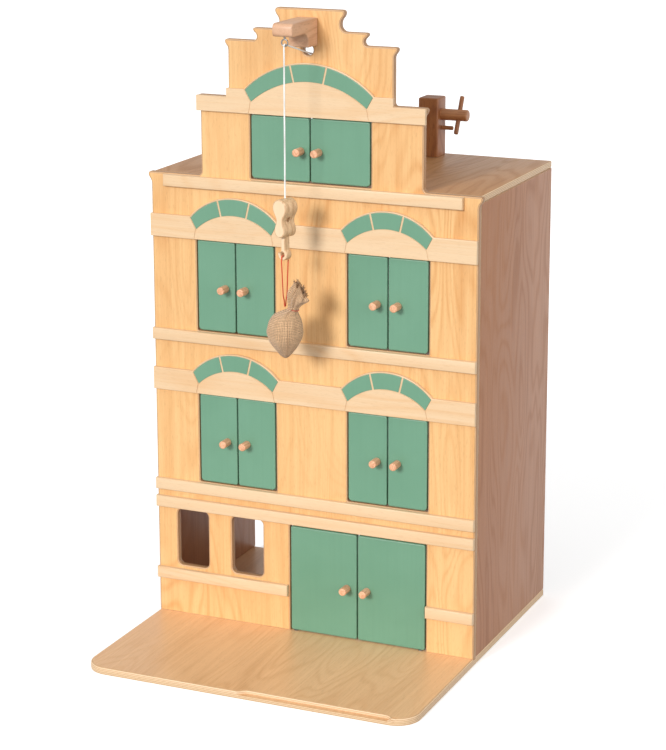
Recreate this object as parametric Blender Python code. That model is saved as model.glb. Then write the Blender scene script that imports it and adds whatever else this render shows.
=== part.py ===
"""Wooden dollhouse: a canal-side warehouse front with double doors, shutters and a working roof hoist.

Metres, +Z up.  X runs across the front (+X right), the front faces -Y, the floor is Z = 0.
The origin is the middle of the base board's underside.
"""
import math

import bmesh
import bpy
from mathutils import Matrix, Vector

MM = 0.001

# ---- driving sizes ----
SHEET = 9.0 * MM            # plywood used for every flat part
GAP = 0.3 * MM              # glue gap between touching pieces
HOUSE_W = 440.0 * MM        # across the front
HOUSE_D = 270.0 * MM        # front face to back edge
QUAY_D = 207.0 * MM         # board in front of the house
GABLE_RISE = 214.0 * MM     # crown above the roof
BOARD_CORNER_R = 30.0 * MM
REBATE_X = (5.0 * MM, 185.0 * MM)
REBATE_D = 8.0 * MM

WINDOW_HALF = 54.3 * MM     # half the width of a shuttered window
WINDOW_H = 119.0 * MM
ATTIC_HALF = 80.8 * MM
ATTIC_H = 82.0 * MM
GROUND_MID = 62.5 * MM      # middle of the big door
GROUND_HALF = 93.5 * MM
GROUND_H = 142.5 * MM
SMALL_W = 44.5 * MM         # the two open windows beside the big door
SMALL_H = 76.5 * MM
SMALL_Z = 66.3 * MM
SIDE_GAP = 1.5 * MM         # leaf to opening side, and between two leaves
END_GAP = 1.3 * MM          # leaf to opening top and bottom
LEAF_PROUD = 0.5 * MM
PIN_INSET = 6.0 * MM        # hinge pin in from the leaf's outer edge
PIN_R = 1.0 * MM
PIN_HOLE_R = 1.09 * MM
KNOB_R = 5.0 * MM
KNOB_L = 16.0 * MM

BAND_T = 5.0 * MM
BAND_H = 29.0 * MM
STRIP_T = 6.0 * MM
STRIP_H = 15.0 * MM

HOIST_X = -2.0 * MM
BEAM_W = 26.0 * MM
BEAM_L = 74.0 * MM
ARM_H = 16.0 * MM
LEG_D = 27.0 * MM
EYE_Y = 66.3 * MM           # eye in front of the facade
EYE_R = 4.1 * MM
EYE_WIRE = 0.9 * MM
HOLE_R = 6.75 * MM
CORD_R = 1.0 * MM

POST_X = 62.7 * MM          # post centres either side of the middle
POST_W = 27.0 * MM
POST_D = 30.0 * MM
POST_H = 77.0 * MM
AXLE_R = 7.5 * MM
AXLE_RUN = 0.08 * MM        # radial running clearance
AXLE_RIGHT = 112.7 * MM
AXLE_LEFT = -84.0 * MM
CRANK_X = 100.3 * MM
CRANK_L = 51.5 * MM
CRANK_R = 3.0 * MM
CRANK_TILT = -26.0          # degrees, top leaning back
PEG_R = 2.7 * MM
PEG_END = 92.2 * MM
WIND_W = 18.0 * MM

HOOK_DROP = 220.0 * MM      # hook top below the gable's crown
HOOK_TURN = -18.0           # degrees about the cord
CHEEK_T = 6.2 * MM

# ---- sizes that follow from them (heights are above the board's top) ----
TOP = SHEET                                   # board top
FRONT = -(HOUSE_D + QUAY_D) / 2 + QUAY_D      # facade front face
BACK = FRONT + HOUSE_D
HALF = HOUSE_W / 2
INNER_HALF = HALF - SHEET - GAP
WALL_FRONT = FRONT + SHEET + GAP              # behind the facade
PAIR_OFFSET = HALF - 116.7 * MM               # window pairs left and right of the middle
SMALL_X = (50.6 * MM - HALF, 128.9 * MM - HALF)
COURSE_Z = GROUND_H + 16.9 * MM               # top of the strip over the ground storey
LOWER_SILL_Z = COURSE_Z + 24.0 * MM
UPPER_SILL_Z = LOWER_SILL_Z + WINDOW_H + 82.0 * MM
EAVES_H = UPPER_SILL_Z + WINDOW_H + 82.6 * MM  # roof top
LOWER_FLOOR = LOWER_SILL_Z - 18.4 * MM
UPPER_FLOOR = UPPER_SILL_Z - 19.4 * MM
ATTIC_Z = EAVES_H + 0.4 * MM                  # attic opening's bottom
CROWN_H = EAVES_H + GABLE_RISE
BEAM_TOP = CROWN_H - 10.0 * MM
LEG_BOTTOM = BEAM_TOP - 33.5 * MM
EYE_Z = BEAM_TOP - 23.5 * MM
HOLE_Z = BEAM_TOP - 39.6 * MM
HOOK_TOP = CROWN_H - HOOK_DROP
SACK_TOP = HOOK_TOP - 135.0 * MM
POST_Y = HOUSE_D - 23.0 * MM                  # behind the facade's front face
AXLE_Z = EAVES_H + 55.0 * MM
PEG_Z = AXLE_Z - AXLE_R - 9.9 * MM
DRUM_R = AXLE_R + GAP + CORD_R                # cord centre on the axle


def clear_scene():
    for ob in list(bpy.data.objects):
        bpy.data.objects.remove(ob, do_unlink=True)


MATS = {}


def material(name, colour, rough=0.5):
    if name in MATS:
        return MATS[name]
    m = bpy.data.materials.new(name)
    m.use_nodes = True
    b = m.node_tree.nodes.get("Principled BSDF")
    b.inputs["Base Color"].default_value = (*colour, 1.0)
    b.inputs["Roughness"].default_value = rough
    m.diffuse_color = (*colour, 1.0)
    MATS[name] = m
    return m


COLOURS = {
    "facade_birch": (0.80, 0.52, 0.24),
    "pale_birch": (0.90, 0.72, 0.48),
    "side_beech": (0.42, 0.24, 0.14),
    "board_birch": (0.70, 0.44, 0.22),
    "green_paint": (0.18, 0.41, 0.27),
    "knob_beech": (0.72, 0.33, 0.18),
    "hoist_beech": (0.60, 0.30, 0.16),
    "steel": (0.60, 0.58, 0.55),
    "white_cord": (0.90, 0.90, 0.86),
    "hook_birch": (0.82, 0.66, 0.48),
    "red_string": (0.62, 0.07, 0.03),
    "burlap": (0.52, 0.34, 0.19),
}


def finish(bm, name, mat, origin=None):
    bmesh.ops.remove_doubles(bm, verts=bm.verts, dist=2e-6)
    bmesh.ops.recalc_face_normals(bm, faces=bm.faces)
    me = bpy.data.meshes.new(name)
    o = Vector(origin) if origin is not None else Vector((0, 0, 0))
    bm.transform(Matrix.Translation(-o))
    bm.to_mesh(me)
    bm.free()
    me.shade_smooth()
    me.set_sharp_from_angle(angle=math.radians(35))
    ob = bpy.data.objects.new(name, me)
    ob.location = o
    bpy.context.scene.collection.objects.link(ob)
    if mat:
        me.materials.append(material(mat, COLOURS[mat]))
    return ob


def extrude(bm, face, move):
    """Pulls a face into a solid, keeping the first face.  Returns the far face's edges."""
    out = bmesh.ops.extrude_face_region(bm, geom=[face], use_keep_orig=True)["geom"]
    bmesh.ops.translate(bm, vec=move, verts=[v for v in out if isinstance(v, bmesh.types.BMVert)])
    far = next(f for f in out if isinstance(f, bmesh.types.BMFace))
    return list(far.edges)


def plate(name, pts, y0, y1, mat, origin=None, bevel=0.0, segs=2, front_only=True):
    """A sheet part: the outline (x, z) extruded from y0 (front) to y1 (back)."""
    bm = bmesh.new()
    front = bm.faces.new([bm.verts.new((x, y0, z)) for x, z in pts])
    rim = list(front.edges)
    back = extrude(bm, front, (0, y1 - y0, 0))
    if bevel > 0:
        edges = rim + ([] if front_only else back)
        bmesh.ops.bevel(bm, geom=edges, offset=bevel, segments=segs, profile=0.5,
                        affect="EDGES", clamp_overlap=True)
    return finish(bm, name, mat, origin)


def box_pts(x0, x1, z0, z1):
    return [(x0, z0), (x1, z0), (x1, z1), (x0, z1)]


def arc(cx, cz, r, a0, a1, n):
    out = []
    for i in range(n + 1):
        a = math.radians(a0 + (a1 - a0) * i / n)
        out.append((cx + r * math.cos(a), cz + r * math.sin(a)))
    return out


def rounded_box_pts(x0, x1, z0, z1, r_bl, r_br, r_tr, r_tl, n=4):
    pts = []
    for cx, cz, r, a in ((x0, z0, r_bl, 180), (x1, z0, r_br, 270), (x1, z1, r_tr, 0), (x0, z1, r_tl, 90)):
        if r <= 0:
            pts.append((cx, cz))
            continue
        sx = 1 if cx == x0 else -1
        sz = 1 if cz == z0 else -1
        pts += arc(cx + sx * r, cz + sz * r, r, a, a + 90, n)
    return pts


def cuboid(name, lo, hi, mat, bevel=0.0, segs=2, pick=None, origin=None):
    bm = bmesh.new()
    bmesh.ops.create_cube(bm, size=1.0)
    size = Vector(hi) - Vector(lo)
    mid = (Vector(hi) + Vector(lo)) / 2
    bm.transform(Matrix.Translation(mid) @ Matrix.Diagonal((*size, 1.0)))
    if bevel > 0:
        edges = [e for e in bm.edges if pick is None or pick(e)]
        bmesh.ops.bevel(bm, geom=edges, offset=bevel, segments=segs, profile=0.5,
                        affect="EDGES", clamp_overlap=True)
    return finish(bm, name, mat, origin)


def revolve(bm, profile, axis_pt, axis_dir, segs=24):
    """Adds a solid of revolution: profile is (distance along axis, radius), closed at both ends."""
    d = Vector(axis_dir).normalized()
    side = d.orthogonal().normalized()
    base = Vector(axis_pt)
    pts = list(profile)
    if pts[0][1] > 0:
        pts.insert(0, (pts[0][0], 0.0))
    if pts[-1][1] > 0:
        pts.append((pts[-1][0], 0.0))
    line = [bm.verts.new(base + d * t + side * r) for t, r in pts]
    edges = [bm.edges.new(pair) for pair in zip(line, line[1:])]
    bmesh.ops.spin(bm, geom=line + edges, cent=base, axis=d, angle=2 * math.pi, steps=segs,
                   use_merge=True, use_duplicate=False)
    bmesh.ops.remove_doubles(bm, verts=bm.verts, dist=2e-6)
    caps = [f for f in bm.faces if len(f.verts) == 3 and abs(f.normal.dot(d)) > 0.9999]
    bmesh.ops.dissolve_faces(bm, faces=[f for f in caps if min((v.co - base).dot(d) for v in f.verts)
                                        < min(t for t, r in profile) + 1e-6])
    caps = [f for f in bm.faces if len(f.verts) == 3 and abs(f.normal.dot(d)) > 0.9999]
    bmesh.ops.dissolve_faces(bm, faces=caps)


def ring(bm, centre, axis, big, small, nu, nv):
    """Adds a round-wire ring: a small circle spun about the ring's axis."""
    d = Vector(axis).normalized()
    side = d.orthogonal().normalized()
    wire = [bm.verts.new(centre + side * (big + small * math.cos(2 * math.pi * j / nv))
                         + d * (small * math.sin(2 * math.pi * j / nv))) for j in range(nv)]
    edges = [bm.edges.new((wire[j], wire[(j + 1) % nv])) for j in range(nv)]
    bmesh.ops.spin(bm, geom=wire + edges, cent=centre, axis=d, angle=2 * math.pi, steps=nu,
                   use_merge=True, use_duplicate=False)


def rod(name, p0, p1, r, mat, segs=24, chamfer=0.0, origin=None):
    bm = bmesh.new()
    p0, p1 = Vector(p0), Vector(p1)
    length = (p1 - p0).length
    if chamfer > 0:
        prof = [(0, r - chamfer), (chamfer, r), (length - chamfer, r), (length, r - chamfer)]
    else:
        prof = [(0, r), (length, r)]
    revolve(bm, prof, p0, p1 - p0, segs)
    return finish(bm, name, mat, origin)


def tube(name, points, r, mat, sides=2, origin=None):
    """A round cord along a line of points, with flat ends."""
    curve = bpy.data.curves.new(name, "CURVE")
    curve.dimensions = "3D"
    curve.bevel_depth = r
    curve.bevel_resolution = sides
    curve.use_fill_caps = True
    spline = curve.splines.new("POLY")
    spline.points.add(len(points) - 1)
    for at, p in zip(spline.points, points):
        at.co = (*p, 1.0)
    holder = bpy.data.objects.new(name + "_line", curve)
    bm = bmesh.new()
    bm.from_mesh(holder.to_mesh())
    holder.to_mesh_clear()
    bpy.data.objects.remove(holder, do_unlink=True)
    bpy.data.curves.remove(curve)
    return finish(bm, name, mat, origin)


def cutter(ob):
    ob.hide_render = True
    ob.display_type = "WIRE"
    return ob


def merge_cutters(name, obs):
    """Joins separate cutters that do not touch each other into one object."""
    bm = bmesh.new()
    for ob in obs:
        me = ob.data.copy()
        me.transform(Matrix.Translation(ob.location))
        bm.from_mesh(me)
        bpy.data.objects.remove(ob, do_unlink=True)
    return cutter(finish(bm, name, None))


def boolean(ob, other, op="DIFFERENCE"):
    m = ob.modifiers.new(op.lower() + "_" + other.name, "BOOLEAN")
    m.operation = op
    m.solver = "EXACT"
    m.object = other
    return m


# ---- facade outline ----
CYMA = ((0, -1.0), (0.09, -0.81), (0.31, -0.65), (0.64, -0.52), (0.87, -0.40), (1.0, -0.27),
        (1.0, -0.17), (0.87, -0.07), (0.58, -0.013), (0.22, 0.0))


def step(u0, z_top, out, drop):
    """One moulded shoulder: a cove that swells into a rounded nose under a flat top."""
    return [(u0 + out * a, z_top + drop * b) for a, b in CYMA]


def fillet(u0, z_flat, r, n=4):
    quarter = [math.radians(90 * i / n) for i in range(n + 1)]
    return [(u0 + r - r * math.sin(a), z_flat + r - r * math.cos(a)) for a in quarter]


STEPS = (  # half width, top height above the board, nose overhang, nose drop, fillet under the next rise
    (HALF, EAVES_H, 4.5 * MM, 15 * MM, 0),
    (149 * MM, CROWN_H - 112 * MM, 4.0 * MM, 14 * MM, 5 * MM),
    (110 * MM, CROWN_H - 41.5 * MM, 4.5 * MM, 13 * MM, 4 * MM),
    (71 * MM, CROWN_H - 26 * MM, 5.0 * MM, 10.5 * MM, 4.5 * MM),
    (40.5 * MM, CROWN_H, 5.5 * MM, 17 * MM, 8 * MM),
)


def facade_outline():
    right = [(HALF, TOP + GAP)]
    flat = None
    for u0, z, out, drop, r in STEPS:
        if flat is not None:
            right += fillet(u0, flat, r)
        right += step(u0, TOP + z, out, drop)
        flat = TOP + z
    left = [(-x, z) for x, z in reversed(right)]
    return right + left


def leaf_openings():
    """name, x0, x1, z0, z1 of every opening that holds a pair of leaves (heights are absolute)."""
    out = [("attic", -ATTIC_HALF, ATTIC_HALF, TOP + ATTIC_Z, TOP + ATTIC_Z + ATTIC_H)]
    for storey, sill in (("upper", UPPER_SILL_Z), ("lower", LOWER_SILL_Z)):
        for side, s in (("left", -1), ("right", 1)):
            c = s * PAIR_OFFSET
            z0 = TOP + sill + 1.0 * MM
            out.append((storey + "_" + side, c - WINDOW_HALF, c + WINDOW_HALF, z0, z0 + WINDOW_H))
    out.append(("ground", GROUND_MID - GROUND_HALF, GROUND_MID + GROUND_HALF, TOP, TOP + GROUND_H))
    return out


def build_facade():
    ob = plate("facade", facade_outline(), FRONT, FRONT + SHEET, "facade_birch")
    cuts = []
    y0, y1 = FRONT - 5 * MM, FRONT + SHEET + 5 * MM
    for name, x0, x1, z0, z1 in leaf_openings():
        low = z0 - 5 * MM if name == "ground" else z0
        r = 1.5 * MM
        cuts.append(plate("cut_" + name, rounded_box_pts(x0, x1, low, z1, r, r, r, r, 2), y0, y1, None))
    for i, cx in enumerate(SMALL_X):
        r = 7 * MM
        outline = rounded_box_pts(cx - SMALL_W / 2, cx + SMALL_W / 2, TOP + SMALL_Z, TOP + SMALL_Z + SMALL_H,
                                  r, r, r, r, 5)
        cuts.append(plate("cut_small%d" % i, outline, y0, y1, None))
    cuts.append(rod("cut_hole", (HOIST_X, y0, TOP + HOLE_Z), (HOIST_X, y1, TOP + HOLE_Z), HOLE_R, None, 28))
    boolean(ob, merge_cutters("facade_openings", cuts))
    holes = []
    for name, x0, x1, z0, z1 in leaf_openings():
        for k, px in enumerate((x0 + SIDE_GAP + PIN_INSET, x1 - SIDE_GAP - PIN_INSET)):
            py = FRONT - LEAF_PROUD + SHEET / 2
            holes.append(rod("cut_top_%s%d" % (name, k), (px, py, z1 - 1 * MM), (px, py, z1 + 5 * MM),
                             PIN_HOLE_R, None, 16))
            if name != "ground":
                holes.append(rod("cut_low_%s%d" % (name, k), (px, py, z0 - 5 * MM), (px, py, z0 + 1 * MM),
                                 PIN_HOLE_R, None, 16))
    boolean(ob, merge_cutters("facade_pin_holes", holes))
    return ob


# ---- bands with arches ----
def band_pts(zb, half, arches, step_half=None, step_up=0.0, rim=None):
    """Outline of a band: flat bottom, flat top at zb + height, a segmental bump over each arch."""
    top = zb + BAND_H if rim is None else rim
    pts = [(-half, zb), (half, zb), (half, top)]
    if step_half:
        pts += [(step_half, top), (step_half, top + step_up)]
        top = top + step_up
    for c, foot, crown in sorted(arches, key=lambda a: -a[0]):
        sag = crown - top
        r = (foot * foot + sag * sag) / (2 * sag)
        a = math.degrees(math.asin(foot / r))
        pts += [(c + r * math.sin(math.radians(a - 2 * a * i / 20)),
                 crown - r + r * math.cos(math.radians(a - 2 * a * i / 20))) for i in range(21)]
    if step_half:
        pts += [(-step_half, top), (-step_half, top - step_up)]
        top = top - step_up
    pts.append((-half, top))
    return pts


def build_bands():
    y0, y1 = FRONT - GAP - BAND_T, FRONT - GAP
    for name, sill in (("band_upper", UPPER_SILL_Z), ("band_lower", LOWER_SILL_Z)):
        zb = TOP + sill + 1.0 * MM + WINDOW_H
        arches = [(s * PAIR_OFFSET, 60.8 * MM, zb + 56.2 * MM) for s in (-1, 1)]
        plate(name, band_pts(zb, HALF, arches), y0, y1, "pale_birch", bevel=0.6 * MM, segs=1)
    zb = TOP + ATTIC_Z + ATTIC_H
    arch = (0.0, 86.5 * MM, zb + 66.4 * MM)
    outline = band_pts(zb, 152.5 * MM, [arch], 111 * MM, 10.7 * MM, zb + 19.3 * MM)
    plate("band_attic", outline, y0, y1, "pale_birch", bevel=0.6 * MM, segs=1)


def strip(name, x0, x1, z_top):
    y0, y1 = FRONT - GAP - STRIP_T, FRONT - GAP
    plate(name, box_pts(x0, x1, TOP + z_top - STRIP_H, TOP + z_top), y0, y1, "pale_birch",
          bevel=1.2 * MM, segs=2)


# ---- leaves, knobs ----
def build_pair(name, x0, x1, z0, z1):
    outer_r = {"attic": 4.6 * MM, "ground": 1.5 * MM}.get(name, 6.6 * MM)
    width = (x1 - x0 - 3 * SIDE_GAP) / 2
    knob_in = {"attic": 12 * MM}.get(name, 13.7 * MM)
    yf = FRONT - LEAF_PROUD
    py = yf + SHEET / 2
    za, zb = z0 + END_GAP, z1 - END_GAP
    for side, s in (("left", -1), ("right", 1)):
        if s < 0:
            a, b = x0 + SIDE_GAP, x0 + SIDE_GAP + width
            px = a + PIN_INSET
            pts = rounded_box_pts(a, b, za, zb, outer_r, 0.8 * MM, 0.8 * MM, min(outer_r, 3 * MM), 4)
            kx = b + SIDE_GAP / 2 - knob_in
        else:
            a, b = x1 - SIDE_GAP - width, x1 - SIDE_GAP
            px = b - PIN_INSET
            pts = rounded_box_pts(a, b, za, zb, 0.8 * MM, outer_r, min(outer_r, 3 * MM), 0.8 * MM, 4)
            kx = a - SIDE_GAP / 2 + knob_in
        leaf = plate("leaf_%s_%s" % (name, side), pts, yf, yf + SHEET, "green_paint", origin=(px, py, za),
                     bevel=0.7 * MM, segs=2, front_only=False)
        reach = 3.5 * MM
        low = TOP - 3.0 * MM if name == "ground" else z0 - reach
        pin = cutter(rod("pin_%s_%s" % (name, side), (px, py, low), (px, py, z1 + reach), PIN_R, None, 16))
        boolean(leaf, pin, "UNION")
        kz = (za + zb) / 2 - (2.5 * MM if name == "ground" else 1.5 * MM)
        bm = bmesh.new()
        turned = [(0, KNOB_R - 0.4 * MM), (0.4 * MM, KNOB_R), (KNOB_L - 1.6 * MM, KNOB_R),
                  (KNOB_L - 0.5 * MM, KNOB_R - 0.8 * MM), (KNOB_L, KNOB_R - 2.2 * MM)]
        revolve(bm, turned, (kx, yf - GAP, kz), (0, -1, 0), 20)
        finish(bm, "knob_%s_%s" % (name, side), "knob_beech", origin=(kx, yf - GAP, kz))


# ---- shell ----
def build_shell():
    yf, yb = FRONT - QUAY_D, BACK
    r = BOARD_CORNER_R
    bm = bmesh.new()
    outline = (arc(-HALF + r, yf + r, r, 180, 270, 8) + arc(HALF - r, yf + r, r, 270, 360, 8)
               + [(HALF, yb), (-HALF, yb)])
    top = extrude(bm, bm.faces.new([bm.verts.new((x, y, 0)) for x, y in outline]), (0, 0, SHEET))
    keep = [e for e in top if min(v.co.y for v in e.verts) < BACK - 1 * MM]
    bmesh.ops.bevel(bm, geom=keep, offset=1.0 * MM, segments=2, profile=0.5, affect="EDGES",
                    clamp_overlap=True)
    board = finish(bm, "base_board", "board_birch")
    # rebate along the front edge, upper half of the board's thickness, with rounded ends
    x0, x1 = REBATE_X
    rr = 5 * MM
    pts = [(x0 - rr, yf - 4 * MM), (x1 + rr, yf - 4 * MM), (x1 + rr, yf - 0.5 * MM)]
    ease = [(rr * math.sin(math.radians(t)), yf + REBATE_D - 1.7 * rr * math.cos(math.radians(t)))
            for t in (15, 30, 45, 60, 75, 90)]
    pts += [(x1 + rr - u, y) for u, y in ease] + [(x0 - rr + u, y) for u, y in reversed(ease)]
    pts += [(x0 - rr, yf - 0.5 * MM)]
    bm = bmesh.new()
    bottom = bm.faces.new([bm.verts.new((x, y, SHEET * 0.5)) for x, y in pts])
    extrude(bm, bottom, (0, 0, SHEET * 0.5 + 3 * MM))
    boolean(board, cutter(finish(bm, "board_rebate", None)))
    holes = []
    for name, x0, x1, z0, z1 in leaf_openings():
        if name == "ground":
            for k, px in enumerate((x0 + SIDE_GAP + PIN_INSET, x1 - SIDE_GAP - PIN_INSET)):
                py = FRONT - LEAF_PROUD + SHEET / 2
                holes.append(rod("cut_board%d" % k, (px, py, TOP - 4.5 * MM), (px, py, TOP + 2 * MM),
                                 PIN_HOLE_R, None, 16))
    boolean(board, merge_cutters("board_pin_holes", holes))

    roof_z0 = TOP + EAVES_H - SHEET

    def outer(e):
        return all(v.co.y > BACK - 1 * MM for v in e.verts)

    def roof_rim(e):
        return (all(v.co.z > roof_z0 + 1 * MM for v in e.verts)
                and any(v.co.y > WALL_FRONT + 1 * MM for v in e.verts))

    for name, s in (("side_left", -1), ("side_right", 1)):
        xa, xb = sorted((s * HALF, s * (HALF - SHEET)))
        cuboid(name, (xa, WALL_FRONT, TOP + GAP), (xb, BACK, roof_z0 - GAP), "side_beech", 0.8 * MM, 1, outer)
    cuboid("roof", (-HALF, WALL_FRONT, roof_z0), (HALF, BACK, roof_z0 + SHEET), "side_beech", 1.2 * MM, 2,
           roof_rim)
    for name, z in (("floor_lower", LOWER_FLOOR), ("floor_upper", UPPER_FLOOR)):
        lo, hi = (-INNER_HALF, WALL_FRONT, TOP + z - SHEET), (INNER_HALF, BACK - 2 * MM, TOP + z)
        cuboid(name, lo, hi, "side_beech", 0.8 * MM, 1,
               lambda e: all(v.co.y > BACK - 4 * MM for v in e.verts))


# ---- hoist ----
def build_hoist():
    zt = TOP + BEAM_TOP
    za = zt - ARM_H
    yb, yf = FRONT - GAP, FRONT - BEAM_L
    yl = FRONT - LEG_D
    zl = TOP + LEG_BOTTOM
    prof = [(yb, zl), (yb, zt)]
    prof += arc(yf + 6 * MM, zt - 6 * MM, 6 * MM, 90, 180, 6)
    prof += arc(yf + 4 * MM, za + 4 * MM, 4 * MM, 180, 270, 4)
    prof += arc(yl - 12 * MM, za - 12 * MM, 12 * MM, 90, 0, 5)
    prof += [(yl, zl + 2 * MM), (yl + 0.6 * MM, zl + 0.6 * MM), (yl + 2 * MM, zl)]
    bm = bmesh.new()
    x0, x1 = HOIST_X - BEAM_W / 2, HOIST_X + BEAM_W / 2
    extrude(bm, bm.faces.new([bm.verts.new((x0, y, z)) for y, z in prof]), (x1 - x0, 0, 0))
    finish(bm, "hoist_beam", "hoist_beech")

    ye, ze = FRONT - EYE_Y, TOP + EYE_Z
    bm = bmesh.new()
    ring(bm, Vector((HOIST_X, ye, ze)), (0, 1, 0), EYE_R, EYE_WIRE, 28, 10)
    eye = finish(bm, "screw_eye", "steel")
    shank = rod("eye_shank", (HOIST_X, ye, ze + EYE_R - 0.2 * MM), (HOIST_X, ye, za - GAP), 1.0 * MM, None,
                12)
    boolean(eye, cutter(shank), "UNION")


def build_winch():
    y = FRONT + POST_Y
    zr = TOP + EAVES_H + GAP
    zc = TOP + AXLE_Z
    for name, s in (("winch_post_left", -1), ("winch_post_right", 1)):
        c = s * POST_X
        top = zr + POST_H
        lo, hi = (c - POST_W / 2, y - POST_D / 2, zr), (c + POST_W / 2, y + POST_D / 2, top)
        post = cuboid(name, lo, hi, "hoist_beech", 5 * MM, 3,
                      lambda e: all(v.co.z > top - 1 * MM for v in e.verts))
        bore = rod("bore_" + name, (c - POST_W, y, zc), (c + POST_W, y, zc), AXLE_R + AXLE_RUN, None, 48)
        boolean(post, cutter(bore))
    axle = rod("winch_axle", (AXLE_LEFT, y, zc), (AXLE_RIGHT, y, zc), AXLE_R, "hoist_beech", 48, 1.0 * MM,
               origin=(0, y, zc))
    d = Vector((0, -math.sin(math.radians(CRANK_TILT)), math.cos(math.radians(CRANK_TILT))))
    mid = Vector((CRANK_X, y, zc))
    cross = cutter(rod("bore_crank", mid - d * 0.02, mid + d * 0.02, CRANK_R + 0.1 * MM, None, 20))
    boolean(axle, cross)
    rod("crank_pin", mid - d * CRANK_L / 2, mid + d * CRANK_L / 2, CRANK_R, "hoist_beech", 20, 0.6 * MM,
        origin=(CRANK_X, y, zc))
    rod("stop_peg", (POST_X + POST_W / 2 + GAP, y, TOP + PEG_Z), (PEG_END, y, TOP + PEG_Z), PEG_R,
        "hoist_beech", 16, 0.5 * MM)
    # cord wound side by side on the axle
    bm = bmesh.new()
    turns = int(round(WIND_W / (2 * CORD_R)))
    outline = [(-WIND_W / 2, AXLE_R + GAP)]
    for i in range(turns):
        outline += arc(-WIND_W / 2 + CORD_R * (2 * i + 1), DRUM_R, CORD_R, 150, 30, 2)
    outline.append((WIND_W / 2, AXLE_R + GAP))
    line = [bm.verts.new((HOIST_X + x, y + r, zc)) for x, r in outline]
    edges = [bm.edges.new(pair) for pair in zip(line, line[1:] + line[:1])]
    bmesh.ops.spin(bm, geom=line + edges, cent=(HOIST_X, y, zc), axis=(1, 0, 0), angle=2 * math.pi, steps=40,
                   use_merge=True, use_duplicate=False)
    finish(bm, "cord_winding", "white_cord", origin=(HOIST_X, y, zc))
    return y, zc


def build_cords(wy, wz):
    ye, ze = FRONT - EYE_Y, TOP + EYE_Z
    wire = ze - EYE_R
    off = EYE_WIRE + GAP + CORD_R
    rim_y, rim_z = FRONT + SHEET, TOP + HOLE_Z - HOLE_R + CORD_R + GAP
    # where the cord leaves the winding, along the tangent to the hole's rim
    px, pz = rim_y - wy, rim_z - wz
    dist = math.hypot(px, pz)
    r = DRUM_R + 2 * CORD_R + GAP
    phi = math.atan2(pz, px)
    t = phi - math.acos(r / dist)
    ty, tz = wy + r * math.cos(t), wz + r * math.sin(t)
    pts = [(HOIST_X, ye - off, wire)]
    for a in (150, 120, 90, 60):
        pts.append((HOIST_X, ye + off * math.cos(math.radians(a)), wire + off * math.sin(math.radians(a))))
    pts += [(HOIST_X, rim_y - 1.5 * MM, rim_z + 0.25 * MM), (HOIST_X, rim_y + 1.5 * MM, rim_z),
            (HOIST_X, ty, tz)]
    tube("cord_run", pts, CORD_R, "white_cord")
    yd = ye - off
    tube("cord_drop", [(HOIST_X, yd, wire - GAP), (HOIST_X, yd, TOP + HOOK_TOP + GAP)], CORD_R, "white_cord",
         origin=(HOIST_X, yd, wire - GAP))
    return yd


# ---- hook and load ----
CHEEK = ((0, 0), (4.2, -0.8), (7.6, -3), (9.8, -6), (10.8, -9), (11, -11), (10.6, -14), (9.2, -17.2),
         (7.4, -20.2), (5.9, -23), (5.2, -26), (5.5, -29), (6.6, -32), (7.6, -35), (8, -38), (7.8, -41),
         (6.4, -44), (4.0, -46.2), (0, -47))


def cheek_pts():
    right = [(u * MM, z * MM) for u, z in CHEEK]
    return [p for p in reversed(right)] + [(-u, z) for u, z in right[1:-1]]


def core_pts():
    down = [(u * MM, z * MM) for u, z in CHEEK[:-1] if z > -46]
    c = (-1.2 * MM, -68.2 * MM)
    ro, ri, w = 7.3 * MM, 3.2 * MM, 2.8 * MM
    a_out = math.degrees(math.acos((w - c[0]) / ro))
    pts = list(down) + [(w, -46.6 * MM)]
    pts += arc(c[0], c[1], ro, a_out, -193, 22)
    tip = math.radians(-200)
    pts.append((c[0] + (ro + ri) / 2 * math.cos(tip), c[1] + (ro + ri) / 2 * math.sin(tip)))
    pts += arc(c[0], c[1], ri, -193, 120, 22)
    pts += [(-w, -46.6 * MM)]
    pts += [(-u, z) for u, z in reversed(down[1:])]
    return list(reversed(pts))


def placed(ob, turn, where):
    """Turns a piece built about its own cord line and sets it under the eye."""
    ob.data.transform(Matrix.Rotation(math.radians(turn), 4, "Z"))
    ob.location = Vector(where)
    return ob


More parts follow.
